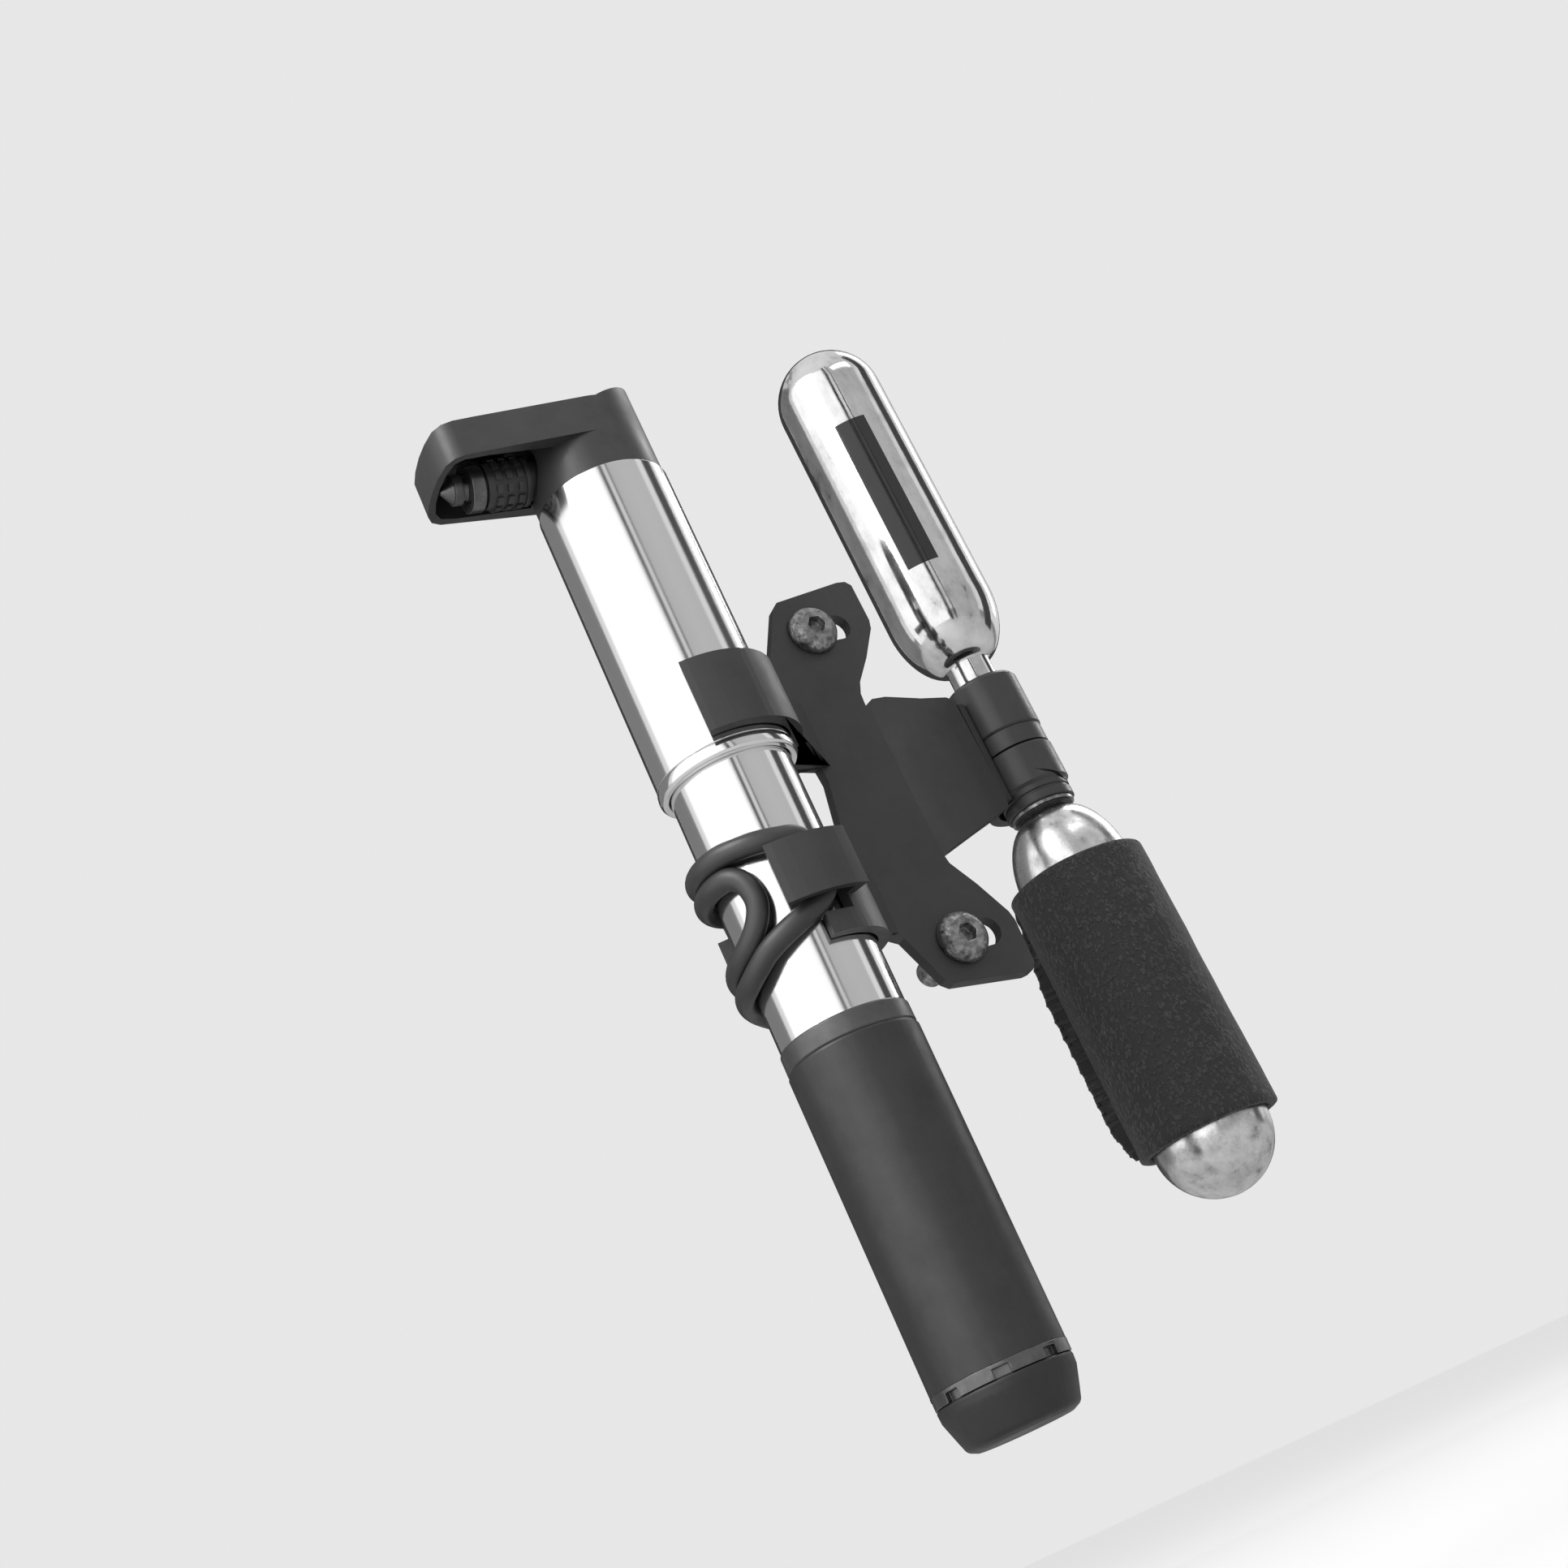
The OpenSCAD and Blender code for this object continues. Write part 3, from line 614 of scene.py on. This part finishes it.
def build_materials():
    """Makes the shader groups, then one material for each slot and two for the cartridges."""
    look = bpy.context.scene.pump_finish
    build_mottle()
    build_grain()
    build_knit()
    build_painted_reflection()
    dark = look.dark_tone
    plastic = look.plastic_tone
    made = {
        "chrome_tube": finish(
            "Polished_tube", grey(look.tube_tone - 0.05), grey(look.tube_tone), look.tube_roughness,
            metallic=1, mottle=90, stretch=(1, 1, 0.2), swing=0.025,
        ),
        "head_metal": finish(
            "Anodised_head", grey(dark * 0.8), grey(dark * 1.2), 0.4, metallic=0.3, mottle=120,
            grain=(2600, 0.25, 0.00004),
        ),
        "grip_metal": finish(
            "Anodised_grip", grey(dark * 0.6), grey(dark * 0.9), 0.42, metallic=0.3, mottle=160,
            grain=(2200, 0.25, 0.00004),
        ),
        "inflator_metal": finish(
            "Anodised_inflator", grey(dark * 0.9), grey(dark * 1.2), 0.36, metallic=0.3, mottle=150,
            grain=(2600, 0.2, 0.00004),
        ),
        "collar_metal": finish(
            "Satin_collar", grey(0.08), grey(0.12), 0.38, metallic=0.7, mottle=200,
            grain=(2600, 0.15, 0.00003),
        ),
        "plain_alloy": finish(
            "Machined_alloy", grey(0.1), grey(0.18), 0.3, metallic=0.9, mottle=260,
        ),
        "bracket_plastic": finish(
            "Moulded_bracket", grey(plastic * 0.8), grey(plastic * 1.2), 0.5, mottle=70,
            grain=(1900, 0.35, 0.00006),
        ),
        "strap_rubber": finish(
            "Strap_rubber", grey(0.022), grey(0.034), 0.42, mottle=110, grain=(1800, 0.2, 0.00005),
        ),
        "seal_rubber": finish("Seal_rubber", grey(0.012), grey(0.018), 0.5, mottle=200),
        "cap_plastic": finish(
            "Cap_plastic", grey(0.01), grey(0.016), 0.5, mottle=120, grain=(2400, 0.3, 0.00005),
        ),
        "guide_plastic": finish("Guide_plastic", grey(0.6), grey(0.7), 0.35, mottle=150),
        "bolt_steel": finish(
            "Worn_zinc", grey(0.05), grey(0.42), 0.36, metallic=0.85, mottle=620, contrast=1.0,
            grain=(2600, 0.3, 0.00006), swing=0.15,
        ),
        "cartridge_steel": finish(
            "Plated_cartridge", grey(0.26), grey(0.84), 0.15, metallic=1, mottle=210,
            stretch=(1, 1, 0.6), contrast=0.32, grain=(700, 0.1, 0.00009), swing=0.08,
        ),
        # The raised threads of the sleeve are painted five times paler than its grey, as a highlight.
        "sleeve_fabric": knit_fabric("Sleeve_knit", look.knit_tone, look.knit_tone * 5),
    }
    made["worn_steel"] = finish(
        "Worn_cartridge", grey(0.3), grey(0.82), 0.3, metallic=1, mottle=330, contrast=0.5,
        grain=(900, 0.16, 0.0001), swing=0.12,
    )
    # The spare cartridge's copy carries a painted reflection: a dark strip on its side toward the camera.
    made["spare_steel"] = made["cartridge_steel"].copy()
    made["spare_steel"].name = "Plated_cartridge_with_patch"
    add_painted_reflection(
        made["spare_steel"], PAINTED_REFLECTION_AZIMUTH, PAINTED_REFLECTION_HALF_WIDTH, PAINTED_REFLECTION_LOW, PAINTED_REFLECTION_HIGH, PAINTED_REFLECTION_TONE
    )
    return made


MATERIALS = {}


# ---------------------------------------------------------------- pieces

# Width of the rounded edges
BRACKET_EDGE = 0.00035
BOLT_EDGE = 0.0002
HEAD_EDGE = 0.0005
CHUCK_EDGE = 0.00018
TUBE_EDGE = 0.00012
LOCK_RING_EDGE = 0.00015
END_CAP_EDGE = 0.0005
INFLATOR_EDGE = 0.00015


def soft_copy(node, width, **options):
    """A softened copy that stands for its node, on its own body and in its own slot."""
    record = frame["record"]
    slot = next(s["material_slot"] for s in record["subparts"] if s["node"] == node)
    bodies = record["behaviour"]["bodies"]
    body = next(b for b, nodes in bodies.items() if node in nodes)
    piece = softened(node, node + "_finished", width, **options)
    return place(piece, body, slot, MATERIALS[slot], node)


class PUMP_OT_bracket(bpy.types.Operator):
    """Rounds the moulded bracket and its bolts"""

    bl_idname = "mini_pump.bracket"
    bl_label = "Bracket"

    def execute(self, context):
        soft_copy("bracket", BRACKET_EDGE, segments=6, smoothing=17)
        soft_copy("bracket_bolts", BOLT_EDGE)
        return {"FINISHED"}


class PUMP_OT_head(bpy.types.Operator):
    """Rounds the hooded head and the chuck under it"""

    bl_idname = "mini_pump.head"
    bl_label = "Head and chuck"

    def execute(self, context):
        soft_copy("pump_head", HEAD_EDGE, segments=4)
        for node in ("chuck_neck", "chuck_sleeve", "chuck_flange", "chuck_ring", "chuck_plug"):
            soft_copy(node, CHUCK_EDGE)
        return {"FINISHED"}


class PUMP_OT_tubes(bpy.types.Operator):
    """Rounds the barrel, the sliding tube and the handle"""

    bl_idname = "mini_pump.tubes"
    bl_label = "Tubes and handle"

    def execute(self, context):
        for node in ("barrel", "barrel_end_ring", "inner_tube", "handle_collar", "handle_grip"):
            soft_copy(node, TUBE_EDGE)
        soft_copy("lock_ring", LOCK_RING_EDGE)
        soft_copy("end_cap", END_CAP_EDGE)
        return {"FINISHED"}


class PUMP_OT_inflator(bpy.types.Operator):
    """Rounds the inflator body, its socket and its control ring"""

    bl_idname = "mini_pump.inflator"
    bl_label = "Inflator"

    def execute(self, context):
        for node in ("inflator_body", "spare_socket", "control_ring"):
            soft_copy(node, INFLATOR_EDGE)
        return {"FINISHED"}


# Strap: bearing about the pump in degrees, lift of its underside off the tube and height in millimetres
STRAP_ROUTE = (
    (-83, 0.3, -20.5), (-84, 0.3, -17.8), (-92, 0.3, -15.9), (-105, 0.3, -15.3),
    (-120, 0.3, -14.7), (-136, 0.3, -14.1), (-153, 0.3, -13.6), (-172, 0.3, -13.4),
    (-192, 0.3, -13.3), (-210, 0.3, -13.2), (-223, 0.3, -13.1), (-236, 0.8, -13.1),
    (-248, 1.8, -13.2), (-258, 3.4, -13.9), (-264, 4.8, -15.6), (-266, 5.3, -18.6),
    (-266, 5.3, -22.5), (-266, 5.3, -26.5), (-264, 4.8, -29.4), (-258, 3.4, -31.1),
    (-248, 1.8, -31.7), (-236, 0.8, -31.5), (-223, 0.3, -30.9), (-205, 0.3, -30.5),
    (-187, 0.3, -30), (-170, 0.3, -29.3), (-156, 0.3, -28.2), (-145, 0.3, -26.3),
    (-138.5, 0.3, -23.8), (-138.5, 0.3, -21.2), (-143, 0.3, -19), (-152, 0.3, -17.6),
    (-164, 0.3, -17.2), (-178, 0.3, -17.1), (-192, 0.3, -17.1), (-208, 0.3, -17.1),
    (-226, 0.3, -17.1), (-244, 0.3, -17.1), (-256, 0.7, -17.1), (-266, 1.3, -17.1),
    (-274, 2.4, -17.5), (-279.5, 3.4, -19.4), (-280, 3.5, -23), (-280, 3.5, -27),
    (-279.5, 3.4, -31), (-275, 2.5, -34.2), (-266, 1.3, -35.7), (-254, 0.7, -35.9),
    (-240, 0.3, -35.4), (-222, 0.3, -34.7), (-206, 0.3, -34.3), (-190, 0.3, -34),
    (-175, 0.3, -33.6), (-160, 0.3, -32.6), (-146, 0.3, -31.3), (-131, 0.3, -30.2),
    (-113, 0.3, -28.9), (-98, 0.3, -27.5), (-88, 0.3, -25.6), (-83.5, 0.3, -23.1),
)
STRAP_THICKNESS = 3.0
STRAP_WIDTH = 3.8
# rings of the mesh from one point of the route to the next
STRAP_STEPS = 4


def between(route, along):
    """A smooth value on a closed route of points, at a fractional count of points along it."""
    count = len(route)
    i = int(along)
    t = along - i
    a, b, c, d = (route[(i + step) % count] for step in (-1, 0, 1, 2))
    return tuple(
        0.5 * (2 * q + (r - p) * t + (2 * p - 5 * q + 4 * r - s) * t**2 + (3 * q - p - 3 * r + s) * t**3)
        for p, q, r, s in zip(a, b, c, d)
    )


def swept_loop(name, centres, outward, width, thickness, sides=24):
    """A closed band of oval section along its centres, flat side toward the tube."""
    count = len(centres)
    points, faces = [], []
    for i in range(count):
        run = (centres[(i + 1) % count] - centres[i - 1]).normalized()
        across = run.cross(outward[i]).normalized()
        rise = across.cross(run)
        for j in range(sides):
            a = 2 * math.pi * j / sides
            points.append(
                centres[i] + across * (width / 2 * math.cos(a)) + rise * (thickness / 2 * math.sin(a))
            )
    for i in range(count):
        for j in range(sides):
            k = (j + 1) % sides
            m = (i + 1) % count
            faces.append((i * sides + j, i * sides + k, m * sides + k, m * sides + j))
    mesh = bpy.data.meshes.new(name)
    mesh.from_pydata(points, [], faces)
    band = bpy.data.objects.new(name, mesh)
    bpy.context.collection.objects.link(band)
    pick(band)
    bpy.ops.object.mode_set(mode="EDIT")
    bpy.ops.mesh.select_all(action="SELECT")
    bpy.ops.mesh.normals_make_consistent(inside=False)
    bpy.ops.object.mode_set(mode="OBJECT")
    return band


class PUMP_OT_strap(bpy.types.Operator):
    """Lays the rubber strap round the tube and over its hooks"""

    bl_idname = "mini_pump.strap"
    bl_label = "Rubber strap"

    def execute(self, context):
        low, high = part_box("inner_tube")
        tube_radius = (high[0] - low[0]) / 2 / MM
        centres, outward = [], []
        for i in range(len(STRAP_ROUTE) * STRAP_STEPS):
            azimuth, lift, height = between(STRAP_ROUTE, i / STRAP_STEPS)
            radius = tube_radius + lift + STRAP_THICKNESS / 2
            centres.append(polar(azimuth, radius, height, PUMP_X, PUMP_Y))
            outward.append(polar(azimuth, 1, 0).normalized())
        strap = swept_loop("strap_finished", centres, outward, STRAP_WIDTH * MM, STRAP_THICKNESS * MM)
        smooth(strap, 60)
        place(strap, None, "strap_rubber", MATERIALS["strap_rubber"], "rubber_strap")
        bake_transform(strap)
        return {"FINISHED"}


# Neck of a cartridge: radius and distance down from its tip, in millimetres
CARTRIDGE_NECK = (
    (0, 0), (2.6, 0), (2.8, 0.25), (3.6, 0.25), (4.0, 0), (4.4, 0.4), (4.4, 11.6), (4.5, 12.0),
)
NECK_RADIUS = 4.4
# Drawn shoulder: how far down it ends, its length, and its steps; then the steps of the round end
SHOULDER_END = 24.8
SHOULDER_LENGTH = 12.6
SHOULDER_STEPS = 14
END_STEPS = 15


def cartridge_stations(length, radius):
    """The outline of a cartridge, from the tip of its neck to its closed round end."""
    stations = list(CARTRIDGE_NECK)
    for step in range(1, SHOULDER_STEPS + 1):
        a = math.radians(90 - 90 * step / SHOULDER_STEPS)
        wide = NECK_RADIUS + (radius - NECK_RADIUS) * math.cos(a) ** 1.12
        stations.append((wide, SHOULDER_END - SHOULDER_LENGTH * math.sin(a) ** 1.05))
    for step in range(END_STEPS + 1):
        a = math.radians(90 * step / END_STEPS)
        stations.append((radius * math.cos(a), length - radius + radius * math.sin(a)))
    return stations


class PUMP_OT_cartridges(bpy.types.Operator):
    """Turns the two gas cartridges with their drawn shoulders and round ends"""

    bl_idname = "mini_pump.cartridges"
    bl_label = "Gas cartridges"

    def execute(self, context):
        low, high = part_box("spare_cartridge")
        length = (high[2] - low[2]) / MM
        radius = (high[0] - low[0]) / 2 / MM
        outline = cartridge_stations(length, radius)
        neck_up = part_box("loaded_cartridge")[1][2] / MM
        neck_down = low[2] / MM
        spare = turned(
            "spare_finished", INFLATOR_X, INFLATOR_Y, [(r, neck_down + d) for r, d in outline]
        )
        loaded = turned(
            "loaded_finished", INFLATOR_X, INFLATOR_Y, [(r, neck_up - d) for r, d in outline]
        )
        for piece in (spare, loaded):
            smooth(piece, 50)
        place(spare, "spare", "cartridge_steel", MATERIALS["spare_steel"], "spare_cartridge")
        place(loaded, "loaded", "cartridge_steel", MATERIALS["worn_steel"], "loaded_cartridge")
        return {"FINISHED"}


# Sleeve: inner and outer radius, in millimetres
SLEEVE_INNER = 11.25
SLEEVE_OUTER = 13.3
# Seam: bearing in degrees, then the radius of its root, its depth, thickness and length in millimetres
SEAM_AZIMUTH = 150
SEAM_ROOT = 11.9
SEAM_DEPTH = 3.4
SEAM_THICKNESS = 1.7
SEAM_LENGTH = 50
# Stitches: spacing in millimetres, radius in metres, and how each is stretched
SEAM_PITCH = 1.7
STITCH_RADIUS = 0.00042
STITCH_SHAPE = (1.2, 2.1, 0.8)


def seam_reach(height):
    """How far the sewn seam stands out of the sleeve at a height, in millimetres."""
    rise = min(max((-height - 27) / 14, 0), 1)
    fall = min(max((height + 76) / 8, 0), 1)
    return 0.35 + 1.9 * rise * fall + 0.12 * math.sin(height * 1.9)


class PUMP_OT_sleeve(bpy.types.Operator):
    """Sews the knitted thermal sleeve, with its cut hems, seam and stitches"""

    bl_idname = "mini_pump.sleeve"
    bl_label = "Thermal sleeve"

    def execute(self, context):
        low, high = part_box("thermal_sleeve")
        bottom, top = low[2] / MM, high[2] / MM
        inner, outer = SLEEVE_INNER, SLEEVE_OUTER
        rise = [bottom + 0.5 + (top - bottom - 1.0) * i / 52 for i in range(53)]
        stations = [(inner, bottom + 0.45)]
        stations += [(inner, z) for z in (bottom + 3, top - 3, top - 0.45)]
        stations += [(inner + 0.3, top - 0.08), (inner + 0.9, top), (outer - 0.5, top - 0.05)]
        stations += [(outer - 0.12, top - 0.25)] + [(outer, z) for z in reversed(rise)]
        stations += [(outer - 0.12, bottom + 0.25), (outer - 0.5, bottom + 0.05)]
        stations += [(inner + 0.9, bottom), (inner + 0.3, bottom + 0.08), (inner, bottom + 0.45)]
        tube = turned("sleeve_tube", INFLATOR_X, INFLATOR_Y, stations, segments=144)
        ripple(tube, 0.011, 0.00035)

        deselect()
        bpy.ops.mesh.primitive_cube_add(size=1, location=(0, 0, 0))
        seam = context.object
        seam.scale = (SEAM_DEPTH * MM, SEAM_THICKNESS * MM, SEAM_LENGTH * MM)
        settle(seam)
        bpy.ops.object.mode_set(mode="EDIT")
        bpy.ops.mesh.select_all(action="SELECT")
        bpy.ops.mesh.subdivide(number_cuts=5)
        bpy.ops.object.mode_set(mode="OBJECT")
        pick(seam)
        bpy.ops.object.modifier_add(type="SUBSURF")
        seam.modifiers[-1].levels = 3
        bpy.ops.object.modifier_apply(modifier=seam.modifiers[-1].name)
        middle = (bottom + top) / 2 - 0.5

        def stand(point):
            height = point.z / MM + middle
            out = (point.x / MM + SEAM_DEPTH / 2) / SEAM_DEPTH
            radius = SEAM_ROOT + out * (outer - SEAM_ROOT + seam_reach(height))
            thick = point.y / MM * (1.0 - 0.25 * out) + 0.22 * math.sin(height * 0.42) * out
            return Vector((radius * MM, thick * MM, height * MM))

        shift(seam, stand)
        stitches = []
        count = int((top - bottom - 6) / SEAM_PITCH)
        for i in range(count):
            height = bottom + 2.2 + i * SEAM_PITCH
            reach = outer + seam_reach(height)
            bpy.ops.mesh.primitive_uv_sphere_add(
                segments=10, ring_count=6, radius=STITCH_RADIUS,
                location=((reach - 0.35) * MM, 0, height * MM), scale=STITCH_SHAPE,
                rotation=(0.25, 0, 0),
            )
            settle(context.object)
            stitches.append(context.object)
        seam = joined("sleeve_seam", [seam, *stitches])
        seam.rotation_euler = (0, 0, math.radians(SEAM_AZIMUTH))
        seam.location = (INFLATOR_X, INFLATOR_Y, 0)
        settle(seam)
        sleeve = joined("sleeve_finished", [tube, seam])
        smooth(sleeve, 60)
        place(sleeve, "sleeve", "sleeve_fabric", MATERIALS["sleeve_fabric"], "thermal_sleeve")
        return {"FINISHED"}


class PUMP_OT_inner(bpy.types.Operator):
    """Gives the pieces inside their finishes"""

    bl_idname = "mini_pump.inner"
    bl_label = "Inner pieces"

    def execute(self, context):
        for entry in frame["record"]["subparts"]:
            node = frame["nodes"][entry["node"]]
            node.data.materials.clear()
            node.data.materials.append(MATERIALS[entry["material_slot"]])
        return {"FINISHED"}


# ---------------------------------------------------------------- studio


# Softboxes: name, bearing, lift, distance, width, height, and the setting that holds the power
SOFTBOXES = (
    ("Key", -160, 32, 0.9, 0.55, 0.9, "key_power"),
    ("Fill", -62, 30, 1.0, 0.6, 0.8, "fill_power"),
    ("Rim", 10, 34, 0.9, 0.12, 0.8, "rim_power"),
)
# Upright cards that only polished metal sees: name, bearing, distance, width, grey
CARDS = (
    ("Flag_line_a", -104, 0.7, 0.065, 0.02),
    ("Flag_line_b", -94, 0.7, 0.035, 0.04),
    ("Flag_grey", -65, 0.75, 0.75, 0.5),
    ("Flag_behind", 66, 0.7, 0.85, 0.05),
    ("Flag_left", 122, 0.7, 0.62, 0.22),
    ("Card_white_a", 180, 0.75, 0.66, 1.25),
    ("Card_white_b", 228, 0.75, 0.62, 1.25),
    ("Flag_right", -17, 0.7, 0.24, 0.06),
)
CARD_HEIGHT = 1.6
CARD_MIDDLE = 0.25
# Grey of the surroundings: as a light, and as the camera and the metal see them
WORLD_LIGHT_TONE = 0.45
WORLD_SEEN_TONE = 0.8
FLOOR_RADIUS = 4


def look_at(thing, target):
    """Turns a light toward a point."""
    direction = Vector(target) - thing.location
    thing.rotation_euler = direction.to_track_quat("-Z", "Y").to_euler()


def around(azimuth, elevation, distance):
    """A point at this compass direction from the object's middle."""
    a, e = math.radians(azimuth), math.radians(elevation)
    return Vector((math.cos(a) * math.cos(e), math.sin(a) * math.cos(e), math.sin(e))) * distance


def softbox(name, azimuth, elevation, distance, width, height, power):
    """A rectangular light turned toward the object."""
    deselect()
    bpy.ops.object.light_add(type="AREA", location=around(azimuth, elevation, distance))
    lamp = bpy.context.object
    lamp.name = name
    lamp.data.shape = "RECTANGLE"
    lamp.data.size = width
    lamp.data.size_y = height
    lamp.data.energy = power
    look_at(lamp, (0, 0, 0))
    return lamp


def card_for_metal(name, azimuth, distance, width, tone):
    """An upright card that only polished metal sees."""
    deselect()
    centre = around(azimuth, 0, distance)
    bpy.ops.mesh.primitive_plane_add(size=1, location=(centre.x, centre.y, CARD_MIDDLE))
    card = bpy.context.object
    card.name = name
    card.scale = (width, CARD_HEIGHT, 1)
    card.rotation_euler = (math.radians(90), 0, math.radians(azimuth + 90))
    settle(card)
    card.visible_camera = False
    card.visible_diffuse = False
    card.visible_shadow = False
    card.visible_transmission = False
    material = bpy.data.materials.new(name)
    material.use_nodes = True
    tree = material.node_tree
    tree.nodes.clear()
    glow = tree.nodes.new("ShaderNodeEmission")
    glow.inputs["Color"].default_value = grey(tone)
    out = tree.nodes.new("ShaderNodeOutputMaterial")
    tree.links.new(glow.outputs[0], out.inputs["Surface"])
    card.data.materials.append(material)
    return card


def build_world():
    """Even surroundings, paler to the camera and in the metal than as a light."""
    world = bpy.data.worlds.new("Studio")
    bpy.context.scene.world = world
    world.use_nodes = True
    tree = world.node_tree
    tree.nodes.clear()
    path = tree.nodes.new("ShaderNodeLightPath")
    direct = tree.nodes.new("ShaderNodeMath")
    direct.operation = "MAXIMUM"
    tree.links.new(path.outputs["Is Camera Ray"], direct.inputs[0])
    tree.links.new(path.outputs["Is Glossy Ray"], direct.inputs[1])
    mix = tree.nodes.new("ShaderNodeMix")
    mix.data_type = "RGBA"
    mix.inputs[6].default_value = grey(WORLD_LIGHT_TONE)
    mix.inputs[7].default_value = grey(WORLD_SEEN_TONE)
    tree.links.new(direct.outputs[0], mix.inputs["Factor"])
    background = tree.nodes.new("ShaderNodeBackground")
    tree.links.new(mix.outputs[2], background.inputs["Color"])
    out = tree.nodes.new("ShaderNodeOutputWorld")
    tree.links.new(background.outputs[0], out.inputs["Surface"])


# Camera: where it stands, and in degrees the way it looks and leans; the width of its film in millimetres
CAMERA_PLACE = (-0.1809, -0.2786, -0.1232)
CAMERA_TURN = 30.4
CAMERA_LIFT = 21.6
CAMERA_ROLL = -25.0
FILM_WIDTH = 36


def build_camera(stage):
    """Sets the camera by its place, its direction and its lean."""
    turn, lift, roll = (math.radians(a) for a in (CAMERA_TURN, CAMERA_LIFT, CAMERA_ROLL))
    forward = Vector(
        (math.sin(turn) * math.cos(lift), math.cos(turn) * math.cos(lift), math.sin(lift))
    )
    level = forward.cross(Vector((0, 0, 1))).normalized()
    above = level.cross(forward)
    right = level * math.cos(roll) + above * math.sin(roll)
    up = above * math.cos(roll) - level * math.sin(roll)
    deselect()
    bpy.ops.object.camera_add(location=CAMERA_PLACE)
    camera = bpy.context.object
    camera.name = "Camera"
    camera.rotation_euler = Matrix((right, up, -forward)).transposed().to_euler()
    camera.data.lens = stage.lens
    camera.data.sensor_width = FILM_WIDTH
    camera.data.clip_start = 0.01
    camera.data.clip_end = 50
    bpy.context.scene.camera = camera


class PUMP_OT_stage(bpy.types.Operator):
    """Lays the floor and sets the lights, the flags and the camera"""

    bl_idname = "mini_pump.stage"
    bl_label = "Studio"

    def execute(self, context):
        stage = context.scene.pump_stage
        context.scene.view_settings.view_transform = "Standard"
        build_camera(stage)
        build_world()
        deselect()
        bpy.ops.mesh.primitive_circle_add(
            vertices=96, radius=FLOOR_RADIUS, fill_type="NGON", location=(0, 0, stage.floor_height)
        )
        floor = bpy.context.object
        floor.name = "Floor"
        settle(floor)
        material = bpy.data.materials.new("Floor")
        material.use_nodes = True
        shader = material.node_tree.nodes["Principled BSDF"]
        shader.inputs["Base Color"].default_value = grey(stage.floor_tone)
        shader.inputs["Roughness"].default_value = 0.9
        shader.inputs["Emission Color"].default_value = grey(1)
        seen = material.node_tree.nodes.new("ShaderNodeLightPath")
        lift = material.node_tree.nodes.new("ShaderNodeMath")
        lift.operation = "MULTIPLY"
        lift.inputs[1].default_value = stage.floor_lift
        material.node_tree.links.new(seen.outputs["Is Camera Ray"], lift.inputs[0])
        material.node_tree.links.new(lift.outputs[0], shader.inputs["Emission Strength"])
        floor.data.materials.append(material)
        for *layout, power in SOFTBOXES:
            softbox(*layout, getattr(stage, power))
        for card in CARDS:
            card_for_metal(*card)
        return {"FINISHED"}


class PUMP_PT_panel(bpy.types.Panel):
    """Lists the pieces and their settings"""

    bl_idname = "PUMP_PT_panel"
    bl_label = "Mini Pump"
    bl_space_type = "VIEW_3D"
    bl_region_type = "UI"
    bl_category = "Mini Pump"

    def draw(self, context):
        for group in (context.scene.pump_finish, context.scene.pump_stage):
            for name in group.bl_rna.properties.keys():
                if name not in {"rna_type", "name"}:
                    self.layout.prop(group, name)
        for step in STEPS:
            self.layout.operator(step.bl_idname)


STEPS = (
    PUMP_OT_bracket,
    PUMP_OT_head,
    PUMP_OT_tubes,
    PUMP_OT_inflator,
    PUMP_OT_strap,
    PUMP_OT_cartridges,
    PUMP_OT_sleeve,
    PUMP_OT_inner,
    PUMP_OT_stage,
)
CLASSES = (PumpFinish, PumpStage, *STEPS, PUMP_PT_panel)


def register():
    for item in CLASSES:
        bpy.utils.register_class(item)
    bpy.types.Scene.pump_finish = bpy.props.PointerProperty(type=PumpFinish)
    bpy.types.Scene.pump_stage = bpy.props.PointerProperty(type=PumpStage)


def unregister():
    del bpy.types.Scene.pump_stage
    del bpy.types.Scene.pump_finish
    for item in reversed(CLASSES):
        bpy.utils.unregister_class(item)


def main():
    register()
    MATERIALS.update(build_materials())
    bpy.ops.mini_pump.bracket()
    bpy.ops.mini_pump.head()
    bpy.ops.mini_pump.tubes()
    bpy.ops.mini_pump.inflator()
    bpy.ops.mini_pump.strap()
    bpy.ops.mini_pump.cartridges()
    bpy.ops.mini_pump.sleeve()
    bpy.ops.mini_pump.inner()
    bpy.ops.mini_pump.stage()


if __name__ == "__main__":
    main()
